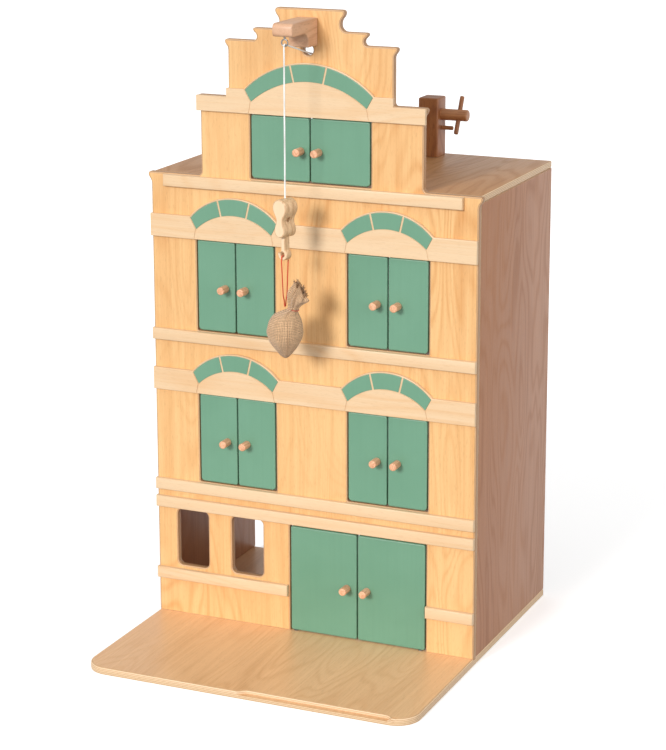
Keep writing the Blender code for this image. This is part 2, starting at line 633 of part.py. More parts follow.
def build_hook(yd):
    at = (HOIST_X, yd, TOP + HOOK_TOP)
    placed(plate("hook_core", core_pts(), -SHEET / 2, SHEET / 2, "hook_birch"), HOOK_TURN, at)
    a, b = SHEET / 2 + GAP, SHEET / 2 + GAP + CHEEK_T
    front = plate("hook_cheek_front", cheek_pts(), -b, -a, "hook_birch", bevel=0.8 * MM, segs=2)
    placed(front, HOOK_TURN, at)
    back = plate("hook_cheek_back", cheek_pts(), -b, -a, "hook_birch", bevel=0.8 * MM, segs=2)
    back.data.transform(Matrix.Rotation(math.pi, 4, "Z"))
    placed(back, HOOK_TURN, at)
    hang = (-1.2 * MM, -71.4 * MM)                     # inside bottom of the hook's bend
    zr = hang[1] + 0.8 * MM + GAP
    yo = SHEET / 2 + GAP + 0.8 * MM
    knot = (SACK_TOP - HOOK_TOP)
    hx, low, half = hang[0], knot + 1.6 * MM, knot * 0.75 - 18 * MM
    pts = [(hx + 0.2 * MM, -1.0 * MM, low), (hx - 0.3 * MM, -3.0 * MM, half),
           (hx - 0.3 * MM, -yo, zr - 7 * MM), (hx, -yo, zr - 0.8 * MM),
           (hx, -yo + 0.6 * MM, zr + 0.15 * MM), (hx, -yo + 1.6 * MM, zr + 0.2 * MM),
           (hx, yo - 1.6 * MM, zr + 0.2 * MM), (hx, yo - 0.6 * MM, zr + 0.15 * MM), (hx, yo, zr - 0.8 * MM),
           (hx + 0.3 * MM, yo, zr - 7 * MM), (hx + 0.3 * MM, 3.0 * MM, half), (hx - 0.2 * MM, 1.0 * MM, low)]
    loop = tube("red_loop", pts, 0.8 * MM, "red_string", 1)
    placed(loop, HOOK_TURN, at)
    # sack: a filled teardrop with a gathered mouth leaning to the right
    zs = TOP + SACK_TOP
    sx = HOIST_X - 1.0 * MM
    body = [(0.0, 0.0), (0.8, 5.2), (2.1, 9.1), (5, 12.8), (9.2, 16), (18.2, 20.6), (27.9, 22.3),
            (38.9, 20.9), (44.2, 17.8), (50, 13.6), (54.4, 9.8), (57.7, 7.4), (61.4, 3.7), (62.8, 0)]
    bm = bmesh.new()
    revolve(bm, [(t * MM, r * MM) for t, r in body], (sx, yd, zs), (0, 0, -1), 28)
    sack = finish(bm, "sack", "burlap", origin=(sx, yd, zs))
    lean = Vector((math.sin(math.radians(13)), 0.0, math.cos(math.radians(13))))
    base = Vector((sx + 8.2 * MM, yd, zs - 14 * MM))
    tuft = [(0, 4.0), (4, 8.2), (8, 9.0), (11.5, 7.0), (14, 6.2), (16.5, 6.6), (21, 9.2), (27, 11.4),
            (33, 11.8), (40, 9.6), (46, 6.6), (49.5, 4.6)]
    bm = bmesh.new()
    revolve(bm, [(t * MM, r * MM) for t, r in tuft], base, lean, 24)
    mouth = cutter(finish(bm, "sack_mouth", "burlap"))
    boolean(sack, mouth, "UNION")
    # string tied round the neck
    c = base + lean * (14 * MM)
    bm = bmesh.new()
    ring(bm, c, lean, 7.6 * MM, 0.8 * MM, 32, 8)
    finish(bm, "neck_tie", "red_string")


def main():
    clear_scene()
    build_shell()
    build_facade()
    build_bands()
    strip("cornice_strip", -201 * MM, 201 * MM, EAVES_H - 1.5 * MM)
    strip("sill_upper", -HALF, HALF, UPPER_SILL_Z)
    strip("sill_lower", -HALF, HALF, LOWER_SILL_Z)
    strip("string_course", -HALF, HALF, COURSE_Z)
    strip("ground_strip_left", -HALF, GROUND_MID - GROUND_HALF - 2 * MM, 61.5 * MM)
    strip("ground_strip_right", GROUND_MID + GROUND_HALF + 0.5 * MM, HALF, 61.5 * MM)
    for spec in leaf_openings():
        build_pair(*spec)
    build_hoist()
    wy, wz = build_winch()
    yd = build_cords(wy, wz)
    build_hook(yd)


if __name__ == "__main__":
    main()
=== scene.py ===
"""Wooden dollhouse with shuttered windows and a working roof hoist.

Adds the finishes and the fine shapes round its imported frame.
"""
import math
import random

import bmesh
import bpy
from bpy.props import FloatProperty, FloatVectorProperty, PointerProperty
from mathutils import Matrix, Vector, noise


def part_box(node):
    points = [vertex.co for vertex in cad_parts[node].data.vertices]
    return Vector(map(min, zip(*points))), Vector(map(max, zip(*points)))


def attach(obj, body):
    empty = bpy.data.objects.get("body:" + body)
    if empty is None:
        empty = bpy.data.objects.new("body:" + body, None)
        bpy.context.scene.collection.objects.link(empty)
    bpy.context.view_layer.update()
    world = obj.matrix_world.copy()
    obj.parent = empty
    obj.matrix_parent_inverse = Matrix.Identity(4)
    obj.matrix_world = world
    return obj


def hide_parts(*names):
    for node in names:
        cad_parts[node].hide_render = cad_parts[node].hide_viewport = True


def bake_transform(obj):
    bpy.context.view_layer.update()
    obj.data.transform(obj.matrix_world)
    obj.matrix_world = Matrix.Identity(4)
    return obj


bl_info = {
    "name": "Hoist Dollhouse",
    "version": (1, 0, 0),
    "blender": (4, 5, 0),
    "location": "View3D > Sidebar > Dollhouse",
    "description": "Builds the finished wooden dollhouse round its packed frame, with its studio",
    "category": "Object",
}

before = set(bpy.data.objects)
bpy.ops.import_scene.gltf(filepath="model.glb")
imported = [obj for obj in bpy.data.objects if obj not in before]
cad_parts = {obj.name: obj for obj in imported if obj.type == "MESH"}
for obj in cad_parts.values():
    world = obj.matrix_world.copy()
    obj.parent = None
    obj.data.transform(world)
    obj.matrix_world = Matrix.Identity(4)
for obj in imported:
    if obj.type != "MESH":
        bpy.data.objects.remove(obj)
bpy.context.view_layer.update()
MM = 0.001
FULL_TURN = 2 * math.pi
TOUCH = 0.3 * MM  # air between two pieces that lie against each other
CREASE, ROUND_CREASE = 34.0, 60.0  # edges that turn by more degrees than this shade as creases

# ---- where the frame's parts are ----
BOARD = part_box("base_board")
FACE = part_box("facade")
TOP = BOARD[1].z
FRONT = FACE[0].y
FACE_BACK = FACE[1].y
CROWN = FACE[1].z
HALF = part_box("roof")[1].x
HUNG_LEAVES = [n for n in sorted(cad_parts) if n.startswith("leaf_")]
LEAF_GAP = 1.5 * MM  # between a leaf and the side of its opening
PIN_REACH = 3.5 * MM  # how far a hinge pin goes into the sheet
HOLE_DROP, HOLE_RADIUS = 49.6 * MM, 6.75 * MM  # cord hole in the gable, measured from the crown


def middle(node):
    """Centre of a part's box: x, y, z."""
    lo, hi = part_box(node)
    return tuple((a + b) / 2 for a, b in zip(lo, hi))


def opening_of(pair):
    """The opening that a pair of leaves hangs in: x0, x1, z0, z1."""
    left, right = (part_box("knob_%s_%s" % (pair, side)) for side in ("left", "right"))
    mid = (left[0].x + right[1].x) / 2
    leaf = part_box("leaf_%s_left" % pair)
    half = mid - leaf[0].x + LEAF_GAP
    z0 = TOP if pair == "ground" else leaf[0].z + PIN_REACH
    return mid - half, mid + half, z0, leaf[1].z - PIN_REACH


# ---- settings ----
def tint(name, text, colour):
    return FloatVectorProperty(name=name, description=text, default=colour, size=3, min=0.0, max=1.0,
                               subtype="COLOR")


def length(name, text, size):
    return FloatProperty(name=name, description=text, default=size, min=0.0, soft_max=0.05, unit="LENGTH",
                         subtype="DISTANCE", precision=4)


def level(name, text, value):
    return FloatProperty(name=name, description=text, default=value, min=0.0)


def angle(name, text, degrees):
    return FloatProperty(name=name, description=text, default=math.radians(degrees), subtype="ANGLE",
                         unit="ROTATION")


class DollhouseColours(bpy.types.PropertyGroup):
    """Colours of the woods, the paint, the cord and the cloth."""
    facade: tint("Facade", "Honey birch of the front panel", (0.81, 0.495, 0.215))
    facade_grain: tint("Facade grain", "Darker growth lines of the front panel", (0.60, 0.255, 0.062))
    trim: tint("Trim", "Pale birch of bands, sills and strips", (0.76, 0.55, 0.34))
    trim_grain: tint("Trim grain", "Growth lines of the trim", (0.70, 0.42, 0.20))
    wall: tint("Walls", "Side panels, roof and floors", (0.431, 0.166, 0.053))
    wall_grain: tint("Wall grain", "Growth lines of the side panels", (0.30, 0.105, 0.031))
    # the roof is the walls' wood; its own lighter tone is painted light
    roof: tint("Roof", "Flat roof", (0.52, 0.26, 0.10))
    roof_grain: tint("Roof grain", "Growth lines of the roof", (0.36, 0.16, 0.06))
    quay: tint("Board", "Base board", (0.86, 0.53, 0.275))
    quay_grain: tint("Board grain", "Growth lines of the base board", (0.62, 0.32, 0.13))
    ply_light: tint("Ply light", "Long-grain plies on a cut edge", (0.90, 0.69, 0.45))
    ply_dark: tint("Ply dark", "End-grain plies on a cut edge", (0.62, 0.39, 0.21))
    green: tint("Green paint", "Doors, shutters and arch stones", (0.128, 0.292, 0.188))
    knob: tint("Knobs", "Beech dowel knobs", (0.78, 0.42, 0.25))
    hoist: tint("Hoist", "Steamed beech of the hoist beam", (0.70, 0.42, 0.26))
    winch: tint("Winch", "Darker beech of the winch and its posts", (0.37, 0.14, 0.045))
    hook: tint("Hook", "Pale birch hook", (0.90, 0.68, 0.45))
    cord: tint("Cord", "White hoist cord", (0.92, 0.92, 0.90))
    string: tint("String", "Red string", (0.80, 0.085, 0.025))
    jute: tint("Jute", "Threads of the sack", (0.70, 0.45, 0.25))
    steel: tint("Steel", "Screw eye and hinge pins", (0.24, 0.235, 0.23))


class DollhouseSizes(bpy.types.PropertyGroup):
    """Small sizes that the frame leaves plain."""
    face_round: length("Facade edges", "Rounding of the front panel's edges", 1.6 * MM)
    leaf_round: length("Leaf edges", "Rounding of doors and shutters", 1.8 * MM)
    strip_round: length("Strip edges", "Rounding of sills and strips", 1.5 * MM)
    band_round: length("Band edges", "Rounding of the arched bands", 0.7 * MM)
    board_round: length("Board edges", "Rounding of the base board's top edge", 2.2 * MM)
    groove: length("Arch grooves", "Depth of the grooves between the arch stones", 0.9 * MM)
    joint: length("Arch joints", "Gap between two arch stones", 2.4 * MM)
    cord_radius: length("Cord radius", "Half the hoist cord's thickness", 1.0 * MM)


class DollhouseStage(bpy.types.PropertyGroup):
    """Camera and studio light."""
    yaw: angle("Camera turn", "Turn to the house's right", 23.87)
    pitch: angle("Camera tilt", "Downward tilt", 13.55)
    lens: level("Lens", "Focal length in millimetres", 110.7)
    key: level("Key light", "Strength of the soft light from the front left", 2.35)
    fill: level("Fill light", "Strength of the very soft light from the right", 0.8)
    room: level("Room light", "Strength of the white room above the horizon", 0.55)
    below: level("Light from below", "Strength of the room below the horizon", 0.24)
    table: level("Table light", "Light given off by the white floor", 0.42)


def colours():
    return bpy.context.scene.dollhouse_colours


def sizes():
    return bpy.context.scene.dollhouse_sizes


# ---- finishes ----
FINISHES = {}


class Nodes:
    """Adds nodes to one tree and joins them up."""

    def __init__(self, tree):
        self.tree = tree

    def node(self, kind, inputs=None, **settings):
        made = self.tree.nodes.new(kind)
        for key, value in settings.items():
            setattr(made, key, value)
        for key, value in (inputs or {}).items():
            if isinstance(value, bpy.types.NodeSocket):
                self.tree.links.new(value, made.inputs[key])
            else:
                made.inputs[key].default_value = value
        return made

    def math(self, operation, a, b=0.0, clamp=False):
        return self.node("ShaderNodeMath", {0: a, 1: b}, operation=operation, use_clamp=clamp).outputs[0]

    def add(self, a, b, clamp=False):
        return self.math("ADD", a, b, clamp)

    def times(self, a, b):
        return self.math("MULTIPLY", a, b)

    def remap(self, value, low, high, to_low=0.0, to_high=1.0):
        return self.node("ShaderNodeMapRange", {"Value": value, "From Min": low, "From Max": high,
                         "To Min": to_low, "To Max": to_high}).outputs["Result"]

    def ripple(self, phase):
        """A sine of the phase that runs from 0 to 1."""
        return self.remap(self.math("SINE", phase), -1.0, 1.0)

    def split(self, vector):
        return self.node("ShaderNodeSeparateXYZ", {0: vector}).outputs


class Finish(Nodes):
    """A material while its nodes are being joined up."""

    def __init__(self, name, roughness, **fixed):
        self.mat = bpy.data.materials.new(name)
        self.mat.use_nodes = True
        super().__init__(self.mat.node_tree)
        self.shader = self.tree.nodes["Principled BSDF"]
        self.shader.inputs["Roughness"].default_value = roughness
        for socket, value in fixed.items():
            self.shader.inputs[socket.replace("_", " ")].default_value = value
        FINISHES[name] = self.mat

    def stretch(self, vector, scale, shift=(0.0, 0.0, 0.0)):
        return self.node("ShaderNodeMapping", {"Vector": vector, "Scale": scale, "Location": shift}).outputs[0]

    def noise(self, vector, scale, detail=2.0, rough=0.5, bend=0.0):
        return self.node("ShaderNodeTexNoise", {"Vector": vector, "Scale": scale, "Detail": detail,
                         "Roughness": rough, "Distortion": bend}).outputs["Fac"]

    def mix(self, share, a, b):
        a, b = ((*c, 1.0) if not isinstance(c, bpy.types.NodeSocket) else c for c in (a, b))
        return self.node("ShaderNodeMix", {0: share, 6: a, 7: b}, data_type="RGBA").outputs[2]

    def vector(self, operation, a, b):
        return self.node("ShaderNodeVectorMath", {0: a, 1: b}, operation=operation).outputs[0]

    def wander(self, vector, by, scale, detail, size):
        """The vector, moved about by a slow noise."""
        drift = self.node("ShaderNodeTexNoise", {"Vector": by, "Scale": scale, "Detail": detail}).outputs["Color"]
        return self.vector("ADD", vector, self.vector("MULTIPLY", drift, size))

    def where(self):
        return self.node("ShaderNodeTexCoord").outputs["Object"]

    def colour(self, socket):
        self.tree.links.new(socket, self.shader.inputs["Base Color"])

    def roughness(self, socket):
        self.tree.links.new(socket, self.shader.inputs["Roughness"])

    def bump(self, height, depth, strength):
        made = self.node("ShaderNodeBump", {"Height": height, "Distance": depth, "Strength": strength})
        self.tree.links.new(made.outputs["Normal"], self.shader.inputs["Normal"])


def tinted(colour, factor):
    return tuple(max(0.0, min(1.0, c * f)) for c, f in zip(colour, factor))


AXIS = {"x": 0, "y": 1, "z": 2}


def scaled(axis, value, across=1.0):
    """A scale with one value along an axis and another across it."""
    return [value if i == AXIS[axis] else across for i in range(3)]


def grain(f, pale, deep, along, figure, lines, fleck, seed):
    """Colour, and a height, of sawn or peeled wood whose fibres run along one axis."""
    at = f.where()
    fast = scaled(along, 0.014)
    leaf = f.stretch(at, scaled(along, 0.22), (seed * 1.7, seed * 0.9, seed * 2.3))
    drift = f.noise(leaf, 9.0, 2.0)
    contour = f.noise(leaf, 14.0, 1.6, 0.4, 0.35)
    rings = f.math("POWER", f.ripple(f.times(contour, lines * FULL_TURN)), 2.6)
    bent = f.wander(at, leaf, 9.0, 1.0, (0.012, 0.012, 0.012))
    fibre = f.noise(f.stretch(bent, fast, (seed, seed, 0.0)), 620.0, 3.0, 0.62)
    streak = f.noise(f.stretch(bent, fast, (0.0, seed, seed)), 105.0, 3.0, 0.6)
    fade = f.remap(f.noise(leaf, 6.0, 1.0), 0.40, 0.6, 0.2, 1.0)
    tone = f.times(f.times(rings, fade), figure)
    tone = f.add(tone, f.times(f.remap(streak, 0.38, 0.72), 0.30))
    tone = f.add(tone, f.remap(fibre, 0.3, 0.7, -0.05, 0.22))
    tone = f.add(tone, f.remap(drift, 0.3, 0.7, -0.14, 0.16), True)
    shade = f.mix(tone, pale, deep)
    if fleck:
        spots = f.remap(f.noise(f.stretch(at, scaled(along, 0.10), (seed, 0.0, 0.0)), 1150.0, 1.0), 0.60, 0.68)
        shade = f.mix(f.times(spots, fleck), shade, tinted(deep, (0.55, 0.5, 0.45)))
    return shade, f.add(f.times(rings, 0.4), fibre)


def wood(name, pale, deep, along, figure, lines, fleck, seed, rough=0.42, coat=0.12):
    """Lacquered wood: how strong and how close its figure is, how many dark flecks, and a number of its own."""
    f = Finish(name, rough, Coat_Weight=coat, Coat_Roughness=0.32)
    shade, height = grain(f, pale, deep, along, figure, lines, fleck, seed)
    f.colour(shade)
    f.roughness(f.remap(height, 0.2, 1.1, rough - 0.05, rough + 0.14))
    f.bump(height, 0.00012, 0.6)
    return f.mat


PLIES = 7


def ply_edge(name, pale, deep, through, node):
    """A cut edge of plywood: pale long-grain plies between darker end-grain ones, counted through the sheet."""
    start, end = (corner[AXIS[through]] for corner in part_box(node))
    f = Finish(name, 0.5, Coat_Weight=0.08, Coat_Roughness=0.35)
    at = f.where()
    parts = f.split(at)
    wobble = f.noise(at, 55.0, 2.0)
    uneven = f.remap(wobble, 0.0, 1.0, -0.0002, 0.0002)
    depth = f.add(f.math("SUBTRACT", parts[AXIS[through]], start), uneven)
    count = f.times(depth, PLIES / (end - start))
    odd = f.math("PINGPONG", count, 1.0)
    from_even = f.math("ABSOLUTE", f.math("SUBTRACT", f.math("WRAP", count, 2.0), 1.0))
    dark = f.remap(from_even, 0.42, 0.58, 1.0, 0.0)
    grit = f.noise(f.stretch(at, scaled(through, 1400.0, 260.0)), 1.0, 3.0, 0.7)
    end_grain = f.mix(f.remap(grit, 0.35, 0.65), tinted(deep, (0.9, 0.87, 0.84)), tinted(deep, (1.14,) * 3))
    long_grain = f.mix(f.remap(grit, 0.3, 0.7), tinted(pale, (0.95, 0.93, 0.9)), pale)
    glue = f.remap(odd, 0.0, 0.09, 0.28, 0.0)
    f.colour(f.mix(glue, f.mix(dark, long_grain, end_grain), tinted(deep, (0.5, 0.45, 0.4))))
    f.bump(f.add(grit, dark), 0.00008, 0.5)
    return f.mat


def paint(name, colour):
    """Sprayed satin paint: an even film with faint orange peel, and a painted highlight that lightens the rounded
    edges.
    """
    f = Finish(name, 0.38, Coat_Weight=0.1, Coat_Roughness=0.25)
    at = f.where()
    cloud = f.noise(at, 14.0, 3.0)
    peel = f.noise(at, 620.0, 2.0, 0.6)
    fibres = f.noise(f.stretch(at, (1.0, 1.0, 0.03)), 300.0, 2.0)
    thin, thick = tinted(colour, (0.94, 0.96, 0.95)), tinted(colour, (1.07, 1.04, 1.05))
    shade = f.mix(f.remap(cloud, 0.3, 0.7), thin, thick)
    shade = f.mix(f.remap(fibres, 0.45, 0.75, 0.0, 0.16), shade, tinted(colour, (0.8, 0.84, 0.82)))
    rim = f.node("ShaderNodeAttribute", attribute_name="rim").outputs["Fac"]
    # painted highlight: the rounded edges, marked by the rim attribute, are lightened in patches
    edge_highlight = f.times(rim, f.remap(f.noise(at, 160.0, 3.0), 0.4, 0.75, 0.12, 0.5))
    f.colour(f.mix(edge_highlight, shade, tinted(colour, (1.75, 1.35, 1.45))))
    f.roughness(f.remap(peel, 0.2, 0.8, 0.34, 0.46))
    f.bump(f.add(peel, f.times(fibres, 0.5)), 0.00006, 0.7)
    return f.mat


def dowel_wood(name, colour, along):
    """Turned beech with short pores along the dowel and growth rings on its end."""
    f = Finish(name, 0.45, Coat_Weight=0.1, Coat_Roughness=0.3)
    at = f.where()
    pores = f.remap(f.noise(f.stretch(at, scaled(along, 0.1)), 900.0, 2.0), 0.52, 0.66)
    growth = f.noise(f.stretch(at, scaled(along, 0.02)), 60.0, 1.0)
    rings = f.ripple(f.times(growth, 60.0))
    shade = f.mix(rings, tinted(colour, (1.1, 1.1, 1.1)), tinted(colour, (0.9, 0.84, 0.78)))
    f.colour(f.mix(f.times(pores, 0.55), shade, tinted(colour, (0.6, 0.5, 0.42))))
    f.bump(f.add(pores, rings), 0.00008, 0.6)
    return f.mat


def threads(name, colour, around, along, twist, depth):
    """Twisted or braided yarn on a tube's own map: u goes round it and v along it."""
    f = Finish(name, 0.78, Sheen_Weight=0.3, Sheen_Roughness=0.5)
    uv = f.split(f.node("ShaderNodeTexCoord").outputs["UV"])
    a = f.add(f.times(uv[0], around), f.times(uv[1], along))
    ply = f.ripple(a)
    if twist:
        b = f.math("SUBTRACT", f.times(uv[0], around * twist), f.times(uv[1], along))
        ply = f.math("MAXIMUM", ply, f.ripple(b))
    fuzz = f.noise(f.where(), 2600.0, 2.0, 0.7)
    # the grooves between the strands are tinted darker: painted shade
    shade = f.mix(ply, tinted(colour, (0.62, 0.58, 0.55)), tinted(colour, (1.05, 1.05, 1.05)))
    f.colour(f.mix(f.remap(fuzz, 0.3, 0.7, 0.0, 0.25), shade, tinted(colour, (0.8, 0.8, 0.78))))
    f.bump(f.add(ply, f.times(fuzz, 0.3)), depth, 0.8)
    return f.mat


def hessian(name, colour):
    """Open plain weave of uneven jute yarn, on the sack's own map of threads."""
    f = Finish(name, 0.85, Sheen_Weight=0.25, Sheen_Roughness=0.6)
    uv = f.node("ShaderNodeTexCoord").outputs["UV"]
    uv = f.wander(uv, uv, 0.35, 2.0, (0.9, 0.9, 0.0))
    parts = f.split(uv)
    waves = [f.math("SINE", f.times(part, math.pi)) for part in parts[:2]]
    warp, weft = (f.math("ABSOLUTE", wave) for wave in waves)
    over = f.times(*waves)
    weave = f.math("MAXIMUM", f.times(warp, f.remap(over, -0.6, 0.6, 0.35, 1.0)),
                   f.times(weft, f.remap(over, -0.6, 0.6, 1.0, 0.35)))
    slub = f.noise(f.stretch(uv, (0.9, 0.09, 1.0)), 1.0, 2.0)
    slub_across = f.noise(f.stretch(uv, (0.09, 0.9, 1.0)), 1.0, 2.0)
    uneven = f.remap(f.add(slub, slub_across), 0.7, 1.3)
    fuzz = f.noise(f.where(), 1900.0, 3.0, 0.7)
    shade = f.mix(uneven, tinted(colour, (0.78, 0.74, 0.7)), tinted(colour, (1.3, 1.3, 1.3)))
    shade = f.mix(f.remap(fuzz, 0.35, 0.75, 0.0, 0.4), shade, tinted(colour, (1.35, 1.35, 1.35)))
    # the gaps between the threads, and the threads where they pass under others, are tinted dark: painted shade
    f.colour(f.mix(f.remap(weave, 0.3, 0.85, 0.9, 0.0), shade, tinted(colour, (0.26, 0.21, 0.17))))
    f.bump(f.add(weave, f.times(fuzz, 0.35)), 0.0006, 0.9)
    return f.mat


def metal(name, colour):
    f = Finish(name, 0.32, Metallic=1.0)
    scratch = f.noise(f.stretch(f.where(), (1.0, 1.0, 6.0)), 900.0, 2.0)
    f.colour(f.mix(scratch, tinted(colour, (0.85, 0.85, 0.85)), tinted(colour, (1.15, 1.15, 1.15))))
    f.roughness(f.remap(scratch, 0.3, 0.7, 0.25, 0.42))
    return f.mat


def floor_finish(name):
    f = Finish(name, 0.9, Emission_Color=(1.0, 1.0, 1.0, 1.0),
               Emission_Strength=bpy.context.scene.dollhouse_stage.table)
    f.colour(f.mix(f.noise(f.where(), 1.5, 2.0), (0.90, 0.90, 0.90), (0.93, 0.93, 0.93)))
    return f.mat


def make_finishes():
    c = colours()
    # name, colour, growth lines, along, figure, lines, flecks, seed, roughness, coat
    for row in (("honey birch", c.facade, c.facade_grain, "z", 0.40, 19.0, 0.16, 1.3),
                ("trim birch across", c.trim, c.trim_grain, "x", 0.34, 12.0, 0.12, 4.1),
                ("wall upright", c.wall, c.wall_grain, "z", 0.34, 14.0, 0.22, 5.2),
                ("wall back to front", c.wall, c.wall_grain, "y", 0.34, 14.0, 0.22, 7.4),
                ("roof top", c.roof, c.roof_grain, "y", 0.34, 14.0, 0.2, 2.2),
                ("quay top", c.quay, c.quay_grain, "y", 0.24, 16.0, 0.14, 3.6, 0.34, 0.25),
                ("steamed beech", c.hoist, tinted(c.hoist, (0.72, 0.62, 0.55)), "y", 0.45, 12.0, 0.3, 6.6, 0.45),
                ("post beech", c.winch, tinted(c.winch, (0.62, 0.52, 0.45)), "z", 0.45, 18.0, 0.5, 8.1, 0.45),
                ("hook face", c.hook, tinted(c.hook, (0.88, 0.80, 0.70)), "z", 0.3, 9.0, 0.08, 9.3)):
        wood(*row)
    # the facade's ply edges are tinted darker than the other ply edges, as painted shade for its side faces
    ply_edge("facade edge painted shade", tinted(c.ply_light, (0.7, 0.56, 0.45)), tinted(c.ply_dark, (0.6, 0.5, 0.42)), "y",
             "facade")
    for name, through, node in (("quay edge", "z", "base_board"), ("roof edge", "z", "roof"),
                                ("wall edge left", "x", "side_left"), ("wall edge right", "x", "side_right"),
                                ("floor edge lower", "z", "floor_lower"), ("floor edge upper", "z", "floor_upper")):
        ply_edge(name, c.ply_light, c.ply_dark, through, node)
    paint("green paint", c.green)
    for name, colour, along in (("knob beech", c.knob, "y"), ("axle beech", tinted(c.winch, (1.25, 1.5, 2.0)), "x"),
                                ("hook ply", tinted(c.hook, (0.80, 0.72, 0.64)), "z"),
                                ("frayed jute", tinted(c.jute, (0.5, 0.42, 0.36)), "z")):
        dowel_wood(name, colour, along)
    threads("hoist cord", c.cord, 2 * FULL_TURN, 3.0, 1.0, 0.0002)
    threads("red twist", c.string, 2 * FULL_TURN, 4.0, 0.0, 0.0003)
    hessian("jute weave", c.jute)
    metal("bright steel", c.steel)


# ---- building with meshes ----
def solid(name, bm, body, mats, replaces=(), sharp=CREASE):
    """Turns a finished bmesh, already in its place, into a piece that rides on a body."""
    me = bpy.data.meshes.new(name)
    bm.to_mesh(me)
    bm.free()
    for m in mats:
        me.materials.append(FINISHES[m])
    me.shade_smooth()
    me.set_sharp_from_angle(angle=math.radians(sharp))
    ob = bpy.data.objects.new(name, me)
    bpy.context.scene.collection.objects.link(ob)
    if body:
        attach(ob, body)
    if replaces:
        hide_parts(*replaces)
    return ob


def join(bm, *others):
    """Adds other bmeshes to the first one."""
    for other in others:
        me = bpy.data.meshes.new("joined")
        other.to_mesh(me)
        other.free()
        bm.from_mesh(me)
        bpy.data.meshes.remove(me)
    return bm


def laid(bm, matrix):
    """The bmesh, turned by a matrix that may mirror it."""
    bm.transform(matrix)
    bmesh.ops.recalc_face_normals(bm, faces=bm.faces)
    return bm


def bevel(bm, edges, size, segments):
    bmesh.ops.bevel(bm, geom=edges, offset=size, segments=segments, profile=0.5, affect="EDGES", material=-1,
                    clamp_overlap=True)


def inset(bm, faces, thickness, depth):
    bmesh.ops.inset_region(bm, faces=faces, use_boundary=True, use_even_offset=True, thickness=thickness, depth=depth)


def arc(cx, cz, r, a0, a1, n):
    """Points of an arc from one angle to another, in degrees."""
    angles = (math.radians(a0 + (a1 - a0) * i / n) for i in range(n + 1))
    return [(cx + r * math.cos(a), cz + r * math.sin(a)) for a in angles]


def soft_box(x0, x1, z0, z1, radii, n=6):
    """Outline of a rectangle with its four corners rounded: bottom left, bottom right, top right, top left."""
    pts = []
    for cx, cz, sx, sz, r, a in ((x0, z0, 1, 1, radii[0], 180), (x1, z0, -1, 1, radii[1], 270),
                                 (x1, z1, -1, -1, radii[2], 0), (x0, z1, 1, -1, radii[3], 90)):
        pts += arc(cx + sx * r, cz + sz * r, r, a, a + 90, n) if r > 0 else [(cx, cz)]
    return pts


def round_over(bm, faces, r, steps):
    """Rounds a cap's rim outwards by repeated insets, then keeps a narrow flat margin for clean shading."""
    for k in range(steps):
        a, b = (math.radians(90 * (1 - j / steps)) for j in (k, k + 1))
        inset(bm, faces, r * (math.sin(a) - math.sin(b)), r * (math.cos(b) - math.cos(a)))
    inset(bm, faces, 0.25 * MM, 0.0)


def panel(loops, y0, y1, near=0.0, far=0.0, steps=3):
    """A sheet whose outlines (x, z) are the first loop and any holes, from y0 to y1, with rounded rims."""
    bm = bmesh.new()
    edges = []
    for loop in loops:
        vs = [bm.verts.new((x, y0 + near, z)) for x, z in loop]
        edges += [bm.edges.new((a, b)) for a, b in zip(vs, vs[1:] + vs[:1])]
    bmesh.ops.triangle_fill(bm, use_beauty=True, edges=edges)
    first = bm.faces[:]
    made = bmesh.ops.extrude_face_region(bm, geom=first, use_keep_orig=True)["geom"]
    second = [g for g in made if isinstance(g, bmesh.types.BMFace)]
    far_verts = [g for g in made if isinstance(g, bmesh.types.BMVert)]
    bmesh.ops.translate(bm, vec=(0, y1 - far - y0 - near, 0), verts=far_verts)
    bmesh.ops.recalc_face_normals(bm, faces=bm.faces)
    walls = set(bm.faces) - set(first) - set(second)
    for faces, r in ((first, near), (second, far)):
        if r > 0:
            round_over(bm, faces, r, steps)
    caps = set(first) | set(second)
    rim = bm.verts.layers.float.new("rim")
    for f in bm.faces:
        if f not in caps:
            f.material_index = 1
            if f not in walls and abs(f.normal.y) < 0.97:
                for v in f.verts:
                    v[rim] = 1.0
    for f in caps:
        for v in f.verts:
            v[rim] = 0.0
    return bm


def block(lo, hi, rounding, pick=None):
    """A box with rounded edges: all of them, or those that pick() chooses."""
    bm = bmesh.new()
    lo, hi = Vector(lo), Vector(hi)
    place = Matrix.Translation((lo + hi) / 2) @ Matrix.Diagonal((*(hi - lo), 1.0))
    bmesh.ops.create_cube(bm, size=1.0, matrix=place)
    bevel(bm, [e for e in bm.edges if pick is None or pick(e)], rounding, 3)
    return bm


def dowel(p0, p1, r, ends, segs):
    """A round rod with its two ends eased by the given radii."""
    bm = bmesh.new()
    p0, p1 = Vector(p0), Vector(p1)
    turn = (p1 - p0).to_track_quat("Z", "Y").to_matrix().to_4x4()
    size = (p1 - p0).length
    bmesh.ops.create_cone(bm, cap_ends=True, segments=segs, radius1=r, radius2=r, depth=size,
                          matrix=Matrix.Translation((p0 + p1) / 2) @ turn)
    for point, ease in zip((p0, p1), ends):
        if ease:
            rim = [e for e in bm.edges if all(abs((v.co - point).dot((p1 - p0) / size)) < 1e-6 for v in e.verts)]
            bevel(bm, rim, ease, 4)
    return bm


